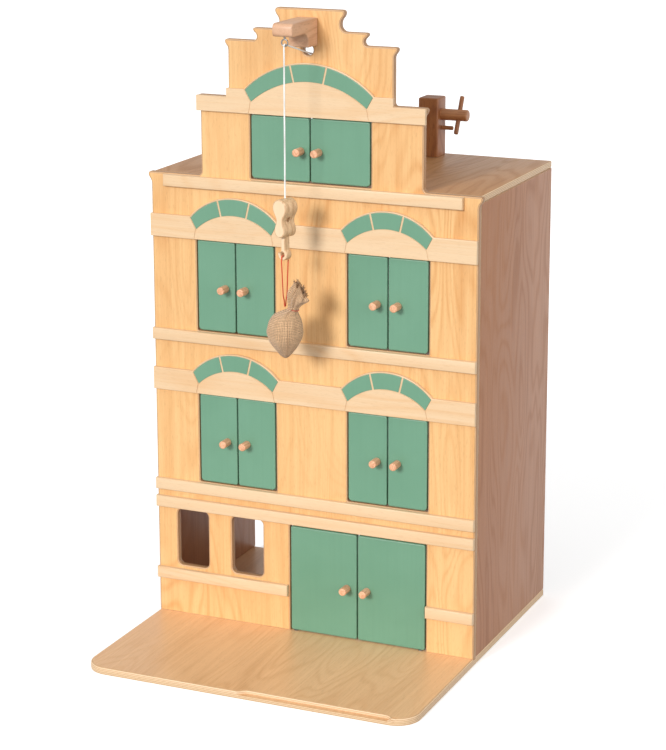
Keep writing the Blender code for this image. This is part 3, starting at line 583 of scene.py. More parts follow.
def carve(ob, cutters):
    """Cuts solids out of a piece, one after the other, and leaves the result as its plain mesh."""
    for bm in cutters:
        me = bpy.data.meshes.new("cut")
        bm.to_mesh(me)
        bm.free()
        tool = bpy.data.objects.new("cut", me)
        bpy.context.scene.collection.objects.link(tool)
        mod = ob.modifiers.new("cut", "BOOLEAN")
        mod.operation, mod.solver, mod.object = "DIFFERENCE", "EXACT", tool
        bpy.context.view_layer.update()
        done = bpy.data.meshes.new_from_object(ob.evaluated_get(bpy.context.evaluated_depsgraph_get()))
        ob.modifiers.remove(mod)
        if not done.polygons:
            raise RuntimeError(ob.name + " was cut away")
        old, ob.data = ob.data, done
        bpy.data.meshes.remove(old)
        bpy.data.objects.remove(tool)
        bpy.data.meshes.remove(me)
    ob.data.shade_smooth()
    ob.data.set_sharp_from_angle(angle=math.radians(CREASE))
    return ob


def tube(points, r, kind="NURBS", sides=3):
    """A round cord through the points, as a mesh with its own map; sides sets how round it is."""
    curve = bpy.data.curves.new("line", "CURVE")
    curve.dimensions = "3D"
    curve.bevel_depth = r
    curve.bevel_resolution = sides
    curve.use_fill_caps = True
    spline = curve.splines.new(kind)
    spline.points.add(len(points) - 1)
    for at, p in zip(spline.points, points):
        at.co = (*p, 1.0)
    if kind == "NURBS":
        spline.order_u = 3
        spline.use_endpoint_u = True
        spline.resolution_u = 3
    holder = bpy.data.objects.new("line", curve)
    me = bpy.data.meshes.new_from_object(holder)
    bm = bmesh.new()
    bm.from_mesh(me)
    bpy.data.meshes.remove(me)
    bpy.data.objects.remove(holder)
    bpy.data.curves.remove(curve)
    bmesh.ops.remove_doubles(bm, verts=bm.verts, dist=1e-6)
    bmesh.ops.recalc_face_normals(bm, faces=bm.faces)
    return bm


def ring(centre, axis, big, small, steps=48, sides=14):
    """A closed round-wire ring."""
    bm = bmesh.new()
    d = Vector(axis).normalized()
    side = d.orthogonal().normalized()
    turn = Matrix((d, side, d.cross(side))).transposed().to_4x4()
    bmesh.ops.create_circle(bm, segments=sides, radius=small,
                            matrix=Matrix.Translation(Vector(centre) + side * big) @ turn)
    bmesh.ops.spin(bm, geom=bm.verts[:] + bm.edges[:], cent=centre, axis=d, angle=FULL_TURN, steps=steps,
                   use_merge=True, use_duplicate=False)
    bmesh.ops.remove_doubles(bm, verts=bm.verts, dist=2e-6)
    bmesh.ops.recalc_face_normals(bm, faces=bm.faces)
    return bm


# ---- operators ----
CAMERA_AT, CAMERA_ROLL, CAMERA_SHIFT = (1.1488, -2.5595, 1.1180), math.radians(-0.15), -0.1
FLOOR_REACH, FLOOR_DROP = 25.0, 0.2 * MM


class BuildStage(bpy.types.Operator):
    """Camera, pale floor and soft studio light."""
    bl_idname = "dollhouse.stage"
    bl_label = "Stage and camera"

    def execute(self, context):
        s = context.scene.dollhouse_stage
        cam = bpy.data.cameras.new("studio camera")
        cam.sensor_width = 36.0
        cam.lens = s.lens
        cam.shift_y = CAMERA_SHIFT
        cam.clip_end = 100.0
        ob = bpy.data.objects.new("studio camera", cam)
        ob.location = CAMERA_AT
        ob.rotation_mode = "XYZ"
        turn = Matrix.Rotation(s.yaw, 4, "Z") @ Matrix.Rotation(math.pi / 2 - s.pitch, 4, "X")
        ob.rotation_euler = (turn @ Matrix.Rotation(CAMERA_ROLL, 4, "Z")).to_euler()
        context.scene.collection.objects.link(ob)
        context.scene.camera = ob

        bm = bmesh.new()
        bmesh.ops.create_grid(bm, x_segments=4, y_segments=4, size=FLOOR_REACH)
        bmesh.ops.translate(bm, vec=(0, 0, -FLOOR_DROP), verts=bm.verts)
        floor_finish("studio floor")
        floor = solid("studio_floor", bm, None, ["studio floor"])
        floor.visible_diffuse = False

        for name, toward, spread, strength in (("key light", (-0.163, -0.925, 0.342), 15.0, s.key),
                                               ("fill light", (0.87, -0.35, 0.35), 40.0, s.fill)):
            light = bpy.data.lights.new(name, "SUN")
            light.angle = math.radians(spread)
            light.energy = strength
            lamp = bpy.data.objects.new(name, light)
            lamp.location = Vector(toward) * 3.0
            lamp.rotation_mode = "QUATERNION"
            lamp.rotation_quaternion = Vector(toward).to_track_quat("Z", "Y")
            context.scene.collection.objects.link(lamp)

        world = bpy.data.worlds.new("white room")
        world.use_nodes = True
        room = Nodes(world.node_tree)
        up = room.split(room.node("ShaderNodeTexCoord").outputs["Generated"])[2]
        # white at the horizon, a little less overhead, and dim below it
        lit = room.math("SUBTRACT", room.remap(up, -0.04, 0.0, s.below, 1.0),
                        room.remap(up, 0.14, 0.34, 0.0, 1.0 - s.room))
        sky = room.tree.nodes["Background"]
        sky.inputs["Color"].default_value = (1.0, 1.0, 1.0, 1.0)
        room.tree.links.new(lit, sky.inputs["Strength"])
        context.scene.world = world
        context.scene.view_settings.view_transform = "Standard"
        return {"FINISHED"}


WIRE = 0.9 * MM  # half the thickness of the screw eye's wire
WINDING_TURNS, WINDING_WIDTH = 9, 16.0 * MM


class BuildCords(bpy.types.Operator):
    """Hoist cord from the hook, through the eye and the gable's hole, to the winch."""
    bl_idname = "dollhouse.cords"
    bl_label = "Hoist cord"

    def execute(self, context):
        r = sizes().cord_radius
        drop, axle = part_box("cord_drop"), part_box("winch_axle")
        x, y, _ = middle("cord_drop")
        wire_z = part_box("screw_eye")[0].z + WIRE
        eye_y = middle("screw_eye")[1]
        off = eye_y - y
        _, ay, az = middle("winch_axle")
        drum = (axle[1].z - axle[0].z) / 2 + TOUCH + r

        # from the eye to the hook, the stretch that the winch lengthens and shortens; here one fixed straight drop
        top, low = drop[1].z, drop[0].z
        path = [(x, y, top - (top - low) * i / 40) for i in range(41)]
        hanging = solid("hoist_cord_hanging", tube(path, r, "POLY"), None, ["hoist cord"], sharp=ROUND_CREASE)
        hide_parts("cord_drop")
        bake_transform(hanging)

        # over the eye's wire, under the beam, over the hole's rim and down to the winding
        rim_z = CROWN - HOLE_DROP - HOLE_RADIUS + r + TOUCH
        reach = drum + 2 * r + TOUCH
        py, pz = FACE_BACK - ay, rim_z - az
        lean = math.atan2(pz, py) - math.acos(reach / math.hypot(py, pz))
        end = (x, ay + reach * math.cos(lean), az + reach * math.sin(lean))
        path = [(x, y, wire_z)]
        path += [(x, eye_y + off * math.cos(math.radians(a)), wire_z + off * math.sin(math.radians(a)))
                 for a in (165, 150, 135, 120, 105, 90, 75, 62)]
        a, b = Vector(path[-1]), Vector((x, FACE_BACK - 1.5 * MM, rim_z + 0.25 * MM))
        path += [tuple(a.lerp(b, i / 10)) for i in range(1, 11)]
        a, b = Vector((x, FACE_BACK + 1.5 * MM, rim_z)), Vector(end)
        path += [tuple(a.lerp(b, i / 30)) for i in range(31)]
        strung = solid("hoist_cord_strung", tube(path, r, "POLY"), "house", ["hoist cord"],
                       ["cord_run"], ROUND_CREASE)

        # turns laid side by side on the axle, and one over them that the cord leaves from
        per = 26
        last = WINDING_TURNS * per
        line = []
        for i in range(last + 1):
            t = i / per
            tuck = min(1.0, i / 5.0, (last - i) / 5.0)
            d = drum - (1 - tuck) * 1.6 * MM
            line.append((x - WINDING_WIDTH / 2 + WINDING_WIDTH * t / WINDING_TURNS, ay + d * math.cos(FULL_TURN * t),
                         az + d * math.sin(FULL_TURN * t)))
        bm = join(tube(line, r * 0.97, "POLY", 2), ring((x, ay, az), (1, 0, 0), drum + 1.85 * r, r, 48, 12))
        solid("cord_turns", bm, "winch", ["hoist cord"], ["cord_winding"], ROUND_CREASE)
        return {"FINISHED"}


BOARD_CORNER = 30.0 * MM
REBATE = (5.0 * MM, 185.0 * MM, 7.5 * MM, 13.0 * MM)  # left and right end, depth, and length of each run-out
SWAP_YZ = Matrix(((1, 0, 0, 0), (0, 0, 1, 0), (0, 1, 0, 0), (0, 0, 0, 1)))


class BuildBoard(bpy.types.Operator):
    """Base board in plywood, with the shallow rebate along its front edge."""
    bl_idname = "dollhouse.board"
    bl_label = "Base board"

    def execute(self, context):
        lo, hi = BOARD
        r = BOARD_CORNER
        left, right = (arc(x, lo.y + r, r, a, a + 90, 14) for x, a in ((lo.x + r, 180), (hi.x - r, 270)))
        back = [(hi.x, hi.y), (lo.x, hi.y)]
        x0, x1, deep, run = REBATE
        ease = [(run * t, lo.y + deep * t * t * (3 - 2 * t)) for t in (i / 9 for i in range(10))]
        notch = [(x0 - run + u, y) for u, y in ease] + [(x1 + run - u, y) for u, y in reversed(ease)]
        mid = TOP / 2
        for outline, z0, z1, under, over, name, nodes in (
                (left + right + back, lo.z, mid, 0.8 * MM, 0.0, "quay_lower_plies", ["base_board"]),
                (left + notch + right + back, mid, hi.z, 0.0, sizes().board_round, "quay_upper_plies", ())):
            bm = laid(panel([outline], z0, z1, under, over, 4), SWAP_YZ)
            for f in bm.faces:
                if f.normal.z > 0.999:
                    f.material_index = 0
            solid(name, bm, "house", ["quay top", "quay edge"], nodes)
        return {"FINISHED"}


class BuildShell(bpy.types.Operator):
    """Side panels, roof and the two floors."""
    bl_idname = "dollhouse.shell"
    bl_label = "Walls, roof and floors"

    def execute(self, context):
        def sheet(name, node, across, face, edge, rounding):
            bm = block(*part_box(node), rounding)
            bmesh.ops.recalc_face_normals(bm, faces=bm.faces)
            for f in bm.faces:
                f.material_index = 0 if abs(f.normal[AXIS[across]]) > 0.9 else 1
            solid(name, bm, "house", [face, edge], [node])

        thin = 0.7 * MM
        for side in ("left", "right"):
            sheet("wall_" + side, "side_" + side, "x", "wall upright", "wall edge " + side, thin)
        sheet("roof_sheet", "roof", "z", "roof top", "roof edge", 1.6 * MM)
        for storey in ("lower", "upper"):
            sheet("storey_floor_" + storey, "floor_" + storey, "z", "wall back to front",
                  "floor edge " + storey, thin)
        return {"FINISHED"}


# the moulding of a step's end: share of its width out, share of its height down
CYMA = ((0, -1.0), (0.09, -0.81), (0.31, -0.65), (0.64, -0.52), (0.87, -0.40), (1.0, -0.27),
        (1.0, -0.17), (0.87, -0.07), (0.58, -0.013), (0.22, 0.0))
# the gable's steps upwards, in millimetres: half width, distance below the crown, the moulding's width and height,
# and the radius at its foot; the lowest step is as wide as the house
STEPS_UP = ((None, 214, 4.5, 15, 0), (149, 112, 4.0, 14, 5), (110, 41.5, 4.5, 13, 4), (71, 26, 5.0, 10.5, 4.5),
            (40.5, 0, 5.5, 17, 8))
OPENING_CORNER = 1.5 * MM
# the two small windows: distances of their middles from the left side, half width, bottom and top, corner
SMALL_WINDOWS = (50.6 * MM, 128.9 * MM)
SMALL_HALF, SMALL_LOW, SMALL_HIGH, SMALL_CORNER = 22.25 * MM, 66.3 * MM, 142.8 * MM, 7.0 * MM


class BuildFacade(bpy.types.Operator):
    """Stepped front panel with its moulded shoulders and openings."""
    bl_idname = "dollhouse.facade"
    bl_label = "Facade"

    def execute(self, context):
        r = sizes().face_round
        bottom = FACE[0].z - r
        right, flat = [(HALF, bottom)], None
        for wide, below, out, drop, bend in STEPS_UP:
            u = HALF if wide is None else wide * MM
            z = CROWN - below * MM
            if flat is not None:
                right += [(u + bend * MM * (1 - math.sin(a)), flat + bend * MM * (1 - math.cos(a)))
                          for a in (math.radians(15 * i) for i in range(7))]
            right += [(u + out * MM * a, z + drop * MM * b) for a, b in CYMA]
            flat = z
        outline = right + [(-x, z) for x, z in reversed(right)]
        c = OPENING_CORNER
        holes = [soft_box(*opening_of(pair), [c] * 4, 3)
                 for pair in ("attic", "upper_left", "upper_right", "lower_left", "lower_right")]
        for mid in SMALL_WINDOWS:
            holes.append(soft_box(mid - HALF - SMALL_HALF, mid - HALF + SMALL_HALF, TOP + SMALL_LOW, TOP + SMALL_HIGH,
                                  [SMALL_CORNER] * 4, 8))
        holes.append(arc(middle("hoist_beam")[0], CROWN - HOLE_DROP, HOLE_RADIUS, 0, 350, 35))
        # the big door's opening runs down to the board, so it is part of the outline
        x0, x1, _, z1 = opening_of("ground")
        outline += [(x0, bottom)] + arc(x0 + c, z1 - c, c, 180, 90, 3) + arc(x1 - c, z1 - c, c, 90, 0, 3)
        outline.append((x1, bottom))
        bm = panel([outline] + holes, FRONT, FACE_BACK, r, 1.0 * MM)
        solid("front_panel", bm, "house", ["honey birch", "facade edge painted shade"], ["facade"])
        return {"FINISHED"}


def arch_ring(cx, outer, inner, a, b, n):
    """Part of an arch between two sides: outer and inner are (radius, centre height)."""
    def on(circle, x):
        return circle[1] + math.sqrt(max(0.0, circle[0] ** 2 - x * x))

    top = [a[0] + (b[0] - a[0]) * i / n for i in range(n + 1)]
    low = [b[1] + (a[1] - b[1]) * i / n for i in range(n + 1)]
    return [(cx + x, on(outer, x)) for x in top] + [(cx + x, on(inner, x)) for x in low]


def circle_through(half, foot, crown):
    """Radius and centre height of the circle through an arch's two feet and its crown."""
    sag = crown - foot
    radius = (half * half + sag * sag) / (2 * sag)
    return radius, crown - radius


# in millimetres above the band's lower edge: half width, foot and crown of the arch's outer and inner side, half
# widths of the keystone above and below, half width of the grooves' feet, the band's height, and the half width and
# crown of its bump over the arch
ATTIC_ARCH = {"out": (85.0, 29.3, 64.6), "inn": (77.0, 15.2, 43.6), "key": (24.2, 19.6), "foot": 80.0,
              "rim": 19.3, "bump": 86.5, "crown": 66.4}
WINDOW_ARCH = {"out": (59.4, 27.5, 54.5), "inn": (51.8, 13.4, 34.0), "key": (21.9, 17.4), "foot": 55.0,
               "rim": 29.0, "bump": 60.8, "crown": 56.2}
EARS, EAR_RISE = 111 * MM, 10.7 * MM  # half width and height of the attic band's raised middle
PAINT_GROW = 0.7 * MM  # how much the milled pocket is larger than the painted stones


class BuildBands(bpy.types.Operator):
    """Bands with arched heads: green arch stones in a milled pocket, and grooves down to the window."""
    bl_idname = "dollhouse.bands"
    bl_label = "Bands and arches"

    def execute(self, context):
        self.band("attic", ("attic",), ATTIC_ARCH)
        self.band("upper", ("upper_left", "upper_right"), WINDOW_ARCH)
        self.band("lower", ("lower_left", "lower_right"), WINDOW_ARCH)
        return {"FINISHED"}

    def band(self, name, pairs, arch):
        node = "band_" + name
        lo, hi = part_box(node)
        zb, half = lo.z, hi.x
        depth, joint = sizes().groove, sizes().joint
        mids = [sum(opening_of(p)[:2]) / 2 for p in pairs]
        attic = name == "attic"
        out, inn, key = ([v * MM for v in arch[part]] for part in ("out", "inn", "key"))
        top = rim = zb + arch["rim"] * MM
        bump, crown = arch["bump"] * MM, zb + arch["crown"] * MM
        pts = [(-half, zb), (half, zb), (half, rim)]
        if attic:
            top = rim + EAR_RISE
            pts += [(EARS, rim), (EARS, top)]
        for mid in sorted(mids, reverse=True):
            radius, low = circle_through(bump, top, crown)
            a = math.degrees(math.asin(bump / radius))
            pts += [(mid + x, z) for x, z in arc(0, low, radius, 90 - a, 90 + a, 40)]
        if attic:
            pts += [(-EARS, top), (-EARS, rim)]
        pts.append((-half, rim))
        bm = panel([pts], lo.y, hi.y, sizes().band_round, 0.0, 2)
        sheet = solid("band_" + name + "_sheet", bm, "house", ["trim birch across"] * 2, [node])
        outer, inner = (circle_through(v[0], zb + v[1], zb + v[2]) for v in (out, inn))
        grow = PAINT_GROW
        wide, thin = (outer[0] + grow, outer[1]), (inner[0] - grow, inner[1])
        above, groove_half = lo.y - 1 * MM, 0.65 * MM
        cutters = []
        for mid in mids:
            ends = [(s * (out[0] + grow * 1.1), s * (inn[0] + grow * 0.5)) for s in (-1, 1)]
            cutters.append(panel([arch_ring(mid, wide, thin, *ends, 44)], above, lo.y + depth))
            for s in (-1, 1):
                a = (mid + s * (inn[0] + 0.2 * MM), zb + inn[1] + 1.0 * MM)
                b = (mid + s * arch["foot"] * MM, zb + 0.75 * MM)
                w = groove_half
                slot = [(a[0] - w, a[1]), (b[0] - w, b[1]), (b[0] + w, b[1]), (a[0] + w, a[1])]
                cutters.append(panel([slot], above, lo.y + depth * 0.75))
        carve(sheet, cutters)
        j = joint / 2
        stones = (((-out[0], -inn[0]), (-key[0] - j, -key[1] - j)),
                  ((-key[0] + j, -key[1] + j), (key[0] - j, key[1] - j)),
                  ((key[0] + j, key[1] + j), (out[0], inn[0])))
        for mid, pair in zip(mids, pairs):
            for i, (a, b) in enumerate(stones):
                stone = arch_ring(mid, outer, inner, a, b, 20)
                bm = panel([stone], lo.y + 0.02 * MM, lo.y + depth + 0.2 * MM, 0.45 * MM, 0.0, 2)
                solid("arch_stone_%s_%d" % (pair, i + 1), bm, "house", ["green paint"] * 2)


class BuildStrips(bpy.types.Operator):
    """Sills, cornice and strips across the front."""
    bl_idname = "dollhouse.strips"
    bl_label = "Sills and strips"

    def execute(self, context):
        for node in ("cornice_strip", "sill_upper", "sill_lower", "string_course", "ground_strip_left",
                     "ground_strip_right"):
            lo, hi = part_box(node)
            # the edges against the front stay sharp
            bm = block(lo, hi, sizes().strip_round, lambda e: all(v.co.y < hi.y - 1 * MM for v in e.verts))
            bmesh.ops.recalc_face_normals(bm, faces=bm.faces)
            solid(node + "_bar", bm, "house", ["trim birch across"], [node])
        return {"FINISHED"}


LEAF_AIR = 1.3 * MM  # above and below a leaf
LEAF_OUTER_CORNER = 4.6 * MM
PIN_INSET, PIN_RADIUS = 6.0 * MM, 1.0 * MM
WASHER_BACK, WASHER_RADIUS = 3.2 * MM, 3.3 * MM


class BuildLeaves(bpy.types.Operator):
    """Painted doors and shutters with rounded edges, their steel pins and their dowel knobs."""
    bl_idname = "dollhouse.leaves"
    bl_label = "Doors, shutters and knobs"

    def execute(self, context):
        for node in HUNG_LEAVES:
            pair, side = node.removeprefix("leaf_").rsplit("_", 1)
            body = "%s_%s_leaf" % (pair, side)
            lo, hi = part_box(node)
            _, _, z0, z1 = opening_of(pair)
            z0, z1 = z0 + LEAF_AIR, z1 - LEAF_AIR
            r = sizes().leaf_round
            corner = 0.9 * MM + r
            outer = corner if pair == "ground" else LEAF_OUTER_CORNER
            radii = [outer, corner, corner, corner] if side == "left" else [corner, outer, corner, corner]
            bm = panel([soft_box(lo.x, hi.x, z0, z1, radii, 5)], lo.y, hi.y, r, r, 4)
            name = {"ground": "door", "attic": "hatch"}.get(pair, "shutter")
            solid("%s_%s_%s" % (name, pair, side), bm, body, ["green paint"] * 2, [node])

            px = lo.x + PIN_INSET if side == "left" else hi.x - PIN_INSET
            py = (lo.y + hi.y) / 2
            ease = 0.3 * MM
            pins = dowel((px, py, z1 - 2 * MM), (px, py, hi.z), PIN_RADIUS, (0, ease), 20)
            join(pins, dowel((px, py, lo.z), (px, py, z0 + 2 * MM), PIN_RADIUS, (ease, 0), 20))
            if pair == "ground":
                wy = lo.y + WASHER_BACK
                join(pins, dowel((px, wy, TOP + 0.1 * MM), (px, wy, z0 + 0.1 * MM), WASHER_RADIUS,
                                 (0.2 * MM, 0.2 * MM), 28))
            solid("pins_%s_%s" % (pair, side), pins, body, ["bright steel"])

            knob = "knob_%s_%s" % (pair, side)
            klo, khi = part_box(knob)
            kx, _, kz = middle(knob)
            bm = dowel((kx, khi.y, kz), (kx, klo.y, kz), (khi.x - klo.x) / 2, (0.4 * MM, 1.3 * MM), 36)
            solid("dowel_" + knob, bm, body, ["knob beech"], [knob])
        return {"FINISHED"}


ARM_THICK, LEG_OUT = 16.0 * MM, 27.0 * MM  # height of the beam's arm, and how far its leg stands out
SWAP_XY = Matrix(((0, 1, 0, 0), (1, 0, 0, 0), (0, 0, 1, 0), (0, 0, 0, 1)))


class BuildHoist(bpy.types.Operator):
    """Hoist beam with its rounded nose and bracket leg, and the screw eye under it."""
    bl_idname = "dollhouse.hoist"
    bl_label = "Hoist beam and eye"

    def execute(self, context):
        lo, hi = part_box("hoist_beam")
        arm, leg = hi.z - ARM_THICK, FRONT - LEG_OUT
        profile = [(hi.y, lo.z), (hi.y, hi.z)]
        for y, z, r, a0, a1, n in ((lo.y + 6 * MM, hi.z - 6 * MM, 6 * MM, 90, 180, 8),
                                   (lo.y + 4 * MM, arm + 4 * MM, 4 * MM, 180, 270, 6),
                                   (leg - 12 * MM, arm - 12 * MM, 12 * MM, 90, 0, 12),
                                   (leg + 2 * MM, lo.z + 2 * MM, 2 * MM, 180, 270, 3)):
            profile += arc(y, z, r, a0, a1, n)
        bm = laid(panel([profile], lo.x, hi.x, 1.4 * MM, 1.4 * MM), SWAP_XY)
        solid("hoist_arm", bm, "house", ["steamed beech"] * 2, ["hoist_beam"])

        lo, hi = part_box("screw_eye")
        x, y, _ = middle("screw_eye")
        big = (hi.x - lo.x) / 2 - WIRE
        bm = join(ring((x, y, lo.z + WIRE + big), (0, 1, 0), big, WIRE),
                  dowel((x, y, lo.z + WIRE + 2 * big - TOUCH), (x, y, hi.z), 1.0 * MM, (0, 0), 20),
                  dowel((x, y, hi.z - 1.1 * MM), (x, y, hi.z), 1.7 * MM, (0.3 * MM, 0.3 * MM), 24))
        solid("steel_eye", bm, "house", ["bright steel"], ["screw_eye"], 50.0)
        return {"FINISHED"}


CRANK_LENGTH, CRANK_LEAN = 51.5 * MM, math.radians(26)
BORE_AIR = 0.08 * MM


class BuildWinch(bpy.types.Operator):
    """Posts on the roof, the axle with its crank pin, and the stop peg."""
    bl_idname = "dollhouse.winch"
    bl_label = "Winch"

    def execute(self, context):
        alo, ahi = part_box("winch_axle")
        _, ay, az = middle("winch_axle")
        ar = (ahi.z - alo.z) / 2
        for side in ("left", "right"):
            node = "winch_post_" + side
            lo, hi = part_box(node)
            bm = block(lo, hi, 2.0 * MM, lambda e: abs(e.verts[0].co.z - e.verts[1].co.z) > 1 * MM)
            bevel(bm, [e for e in bm.edges if all(v.co.z > hi.z - 0.1 * MM for v in e.verts)], 5.0 * MM, 6)
            post = solid("roof_post_" + side, bm, "house", ["post beech"] * 2, [node])
            carve(post, [dowel((lo.x - 0.01, ay, az), (hi.x + 0.01, ay, az), ar + BORE_AIR, (0, 0), 48)])
        bm = dowel((alo.x, ay, az), (ahi.x, ay, az), ar, (1.6 * MM, 1.6 * MM), 48)
        axle = solid("axle_rod", bm, "winch", ["axle beech"], ["winch_axle"])

        lo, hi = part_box("crank_pin")
        mid = (lo + hi) / 2
        r = (hi.x - lo.x) / 2
        lean = Vector((0, math.sin(CRANK_LEAN), math.cos(CRANK_LEAN)))
        carve(axle, [dowel(mid - lean * 0.02, mid + lean * 0.02, r + 0.1 * MM, (0, 0), 32)])
        half = CRANK_LENGTH / 2
        bm = dowel(mid - lean * half, mid + lean * half, r, (1.4 * MM, 1.4 * MM), 28)
        solid("crank_dowel", bm, "winch", ["post beech"], ["crank_pin"])

        lo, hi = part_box("stop_peg")
        _, py, pz = middle("stop_peg")
        bm = dowel((lo.x, py, pz), (hi.x, py, pz), (hi.z - lo.z) / 2, (0, 1.1 * MM), 28)
        solid("stop_dowel", bm, "house", ["axle beech"], ["stop_peg"])
        return {"FINISHED"}


# right half of a cheek's outline, in millimetres from its top
CHEEK = ((0, 0), (4.2, -0.8), (7.6, -3), (9.8, -6), (10.8, -9), (11, -11), (10.6, -14), (9.2, -17.2),
         (7.4, -20.2), (5.9, -23), (5.2, -26), (5.5, -29), (6.6, -32), (7.6, -35), (8, -38), (7.8, -41),
         (6.4, -44), (4.0, -46.2), (0, -47))
BEND_AT, BEND_OUTER, BEND_INNER = (-1.2 * MM, -68.2 * MM), 7.3 * MM, 3.2 * MM
SHANK_HALF, SHANK_TOP = 2.8 * MM, -46.6 * MM
CORE_HALF, CHEEK_THICK = 4.5 * MM, 6.2 * MM
WAIST_HOLE_AT, WAIST_HOLE_RADIUS = -25.0 * MM, 3.4 * MM


def hook_place():
    """Where the hook hangs: its top, just under the cord, and its turn."""
    x, y, _ = middle("cord_drop")
    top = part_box("cord_drop")[0].z - TOUCH
    return Matrix.Translation((x, y, top)) @ Matrix.Rotation(math.radians(-18), 4, "Z")


class BuildHook(bpy.types.Operator):
    """Wooden hook in three layers, hanging on the cord."""
    bl_idname = "dollhouse.hook"
    bl_label = "Hook"

    def execute(self, context):
        place = hook_place()
        right = [(u * MM, z * MM) for u, z in CHEEK]
        cheek = list(reversed(right)) + [(-u, z) for u, z in right[1:-1]]
        cx, cz = BEND_AT
        tip, tip_radius = math.radians(-200), (BEND_OUTER + BEND_INNER) / 2
        start = math.degrees(math.acos((SHANK_HALF - cx) / BEND_OUTER))
        down = [p for p in right if p[1] > -46 * MM]
        core = down + [(SHANK_HALF, SHANK_TOP)] + arc(cx, cz, BEND_OUTER, start, -193, 34)
        core += [(cx + tip_radius * math.cos(tip), cz + tip_radius * math.sin(tip))]
        core += arc(cx, cz, BEND_INNER, -193, 120, 34) + [(-SHANK_HALF, SHANK_TOP)]
        core += [(-u, z) for u, z in reversed(down[1:])]
        t, soft, round_edge, deep = CORE_HALF, 0.4 * MM, 1.3 * MM, 0.25 * MM

        def layer(name, outline, y0, y1, near, far, node):
            bm = laid(panel([outline], y0, y1, near, far), place)
            return solid(name, bm, "hook", ["hook face", "hook ply"], [node])

        core_piece = layer("hook_middle", core[::-1], -t, t, 0.7 * MM, 0.7 * MM, "hook_core")
        layer("hook_front_cheek", cheek, -t - TOUCH - CHEEK_THICK, -t - TOUCH + deep, round_edge, soft,
              "hook_cheek_front")
        layer("hook_back_cheek", cheek, t + TOUCH - deep, t + TOUCH + CHEEK_THICK, soft, round_edge,
              "hook_cheek_back")
        bore = dowel((-3.5 * MM, 0, WAIST_HOLE_AT), (12 * MM, 0, WAIST_HOLE_AT), WAIST_HOLE_RADIUS, (0, 0), 24)
        bore.transform(place)
        carve(core_piece, [bore])
        return {"FINISHED"}


# the sack from its foot over the mouth's rim and back inside, in millimetres from its neck: height, centre to the
# right, radius, and depth of the folds as a share of the radius
SACK_ROWS = (
    (-62.8, 0.4, 0.0, 0.0), (-62.2, 0.3, 2.2, 0.0), (-60.6, 0.2, 4.6, 0.01), (-57.6, 0.1, 7.6, 0.015),
    (-54.0, 0.0, 10.4, 0.02), (-49.6, 0.0, 13.9, 0.02), (-44.6, 0.0, 17.4, 0.02), (-39.4, 0.0, 20.2, 0.02),
    (-34.0, 0.0, 21.8, 0.02), (-28.4, 0.0, 22.2, 0.02), (-23.0, 0.0, 21.8, 0.02), (-18.2, 0.2, 20.8, 0.02),
    (-14.0, 0.5, 19.2, 0.025), (-10.6, 1.2, 17.2, 0.04), (-7.8, 2.3, 14.9, 0.06), (-5.2, 4.2, 12.2, 0.09),
    (-2.8, 7.0, 9.4, 0.14), (-0.6, 10.0, 6.9, 0.20), (1.6, 11.2, 6.8, 0.20), (4.0, 12.1, 7.6, 0.20),
    (7.2, 13.0, 8.9, 0.21), (11.0, 13.9, 9.9, 0.23), (15.2, 14.8, 10.2, 0.25), (19.4, 15.8, 9.6, 0.27),
    (23.4, 16.9, 8.5, 0.29), (27.0, 18.0, 7.2, 0.30), (30.0, 18.9, 6.2, 0.31), (32.4, 19.5, 5.6, 0.32),
    (32.0, 19.5, 4.9, 0.30), (29.0, 18.8, 5.0, 0.28), (25.0, 17.6, 6.2, 0.24), (20.0, 16.0, 6.6, 0.2),
    (15.0, 14.8, 4.0, 0.1), (14.6, 14.7, 0.0, 0.0))
SACK_HEIGHT = 62.8 * MM  # foot to neck
SACK_SEGMENTS, THREADS_ROUND, THREAD_PITCH = 84, 66.0, 2.0
FRAYS = 150
STRING_RADIUS = 0.75 * MM


def smooth_rows(rows, parts=3):
    """The rows with more between them, on a curve through them all."""
    fine = []
    for i in range(len(rows) - 1):
        p0, p1, p2, p3 = rows[max(0, i - 1)], rows[i], rows[i + 1], rows[min(len(rows) - 1, i + 2)]
        for k in range(parts):
            t = k / parts
            fine.append([0.5 * (2 * b + (c - a) * t + (2 * a - 5 * b + 4 * c - d) * t * t
                                + (3 * b - a - 3 * c + d) * t ** 3) for a, b, c, d in zip(p0, p1, p2, p3)])
    fine.append(list(rows[-1]))
    fine[0][2] = fine[-1][2] = 0.0
    return fine


class SackShape:
    """The sack's rows, and the points of its folded skin."""

    def __init__(self):
        self.rows = smooth_rows(SACK_ROWS)
        x, self.y, _ = middle("cord_drop")
        self.x = x - 1.0 * MM
        self.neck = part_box("sack")[0].z + SACK_HEIGHT

    def skin(self, i, th, swell=0.0):
        """A point of row i, at an angle round it."""
        h, c, r, a = self.rows[i]
        r = max(r, 0.0) + swell
        fold = (math.cos(8 * th + 0.9 * math.sin(h * 0.16)) * 0.55 + math.cos(5 * th + 1.7 + h * 0.05) * 0.35
                + math.cos(13 * th + h * 0.1) * 0.2)
        r *= 1 + a * fold
        slant = max(0.0, (h - 5.0) / 27.0)
        right = 0.5 + 0.5 * math.cos(th)
        over_neck = h > 2
        if over_neck:
            r *= 1 + 0.55 * math.exp(-((h - 13) / 6.0) ** 2) * max(0.0, math.cos(th)) ** 4
            r *= 1 - 0.30 * abs(math.sin(th)) ** 2
        r *= 1 + 0.04 * noise.noise(Vector((math.cos(th) * 2.2, math.sin(th) * 2.2, h * 0.12)))
        z = h - 15.0 * slant ** 1.5 * right ** 1.6
        if over_neck:
            z += slant * (2.6 * math.cos(5 * th + 0.6) * (0.4 + right) + 1.3 * math.cos(9 * th + 2.0))
        x = c + r * math.cos(th) + 2.5 * slant * right
        return Vector((self.x + x * MM, self.y + r * math.sin(th) * MM, self.neck + z * MM))


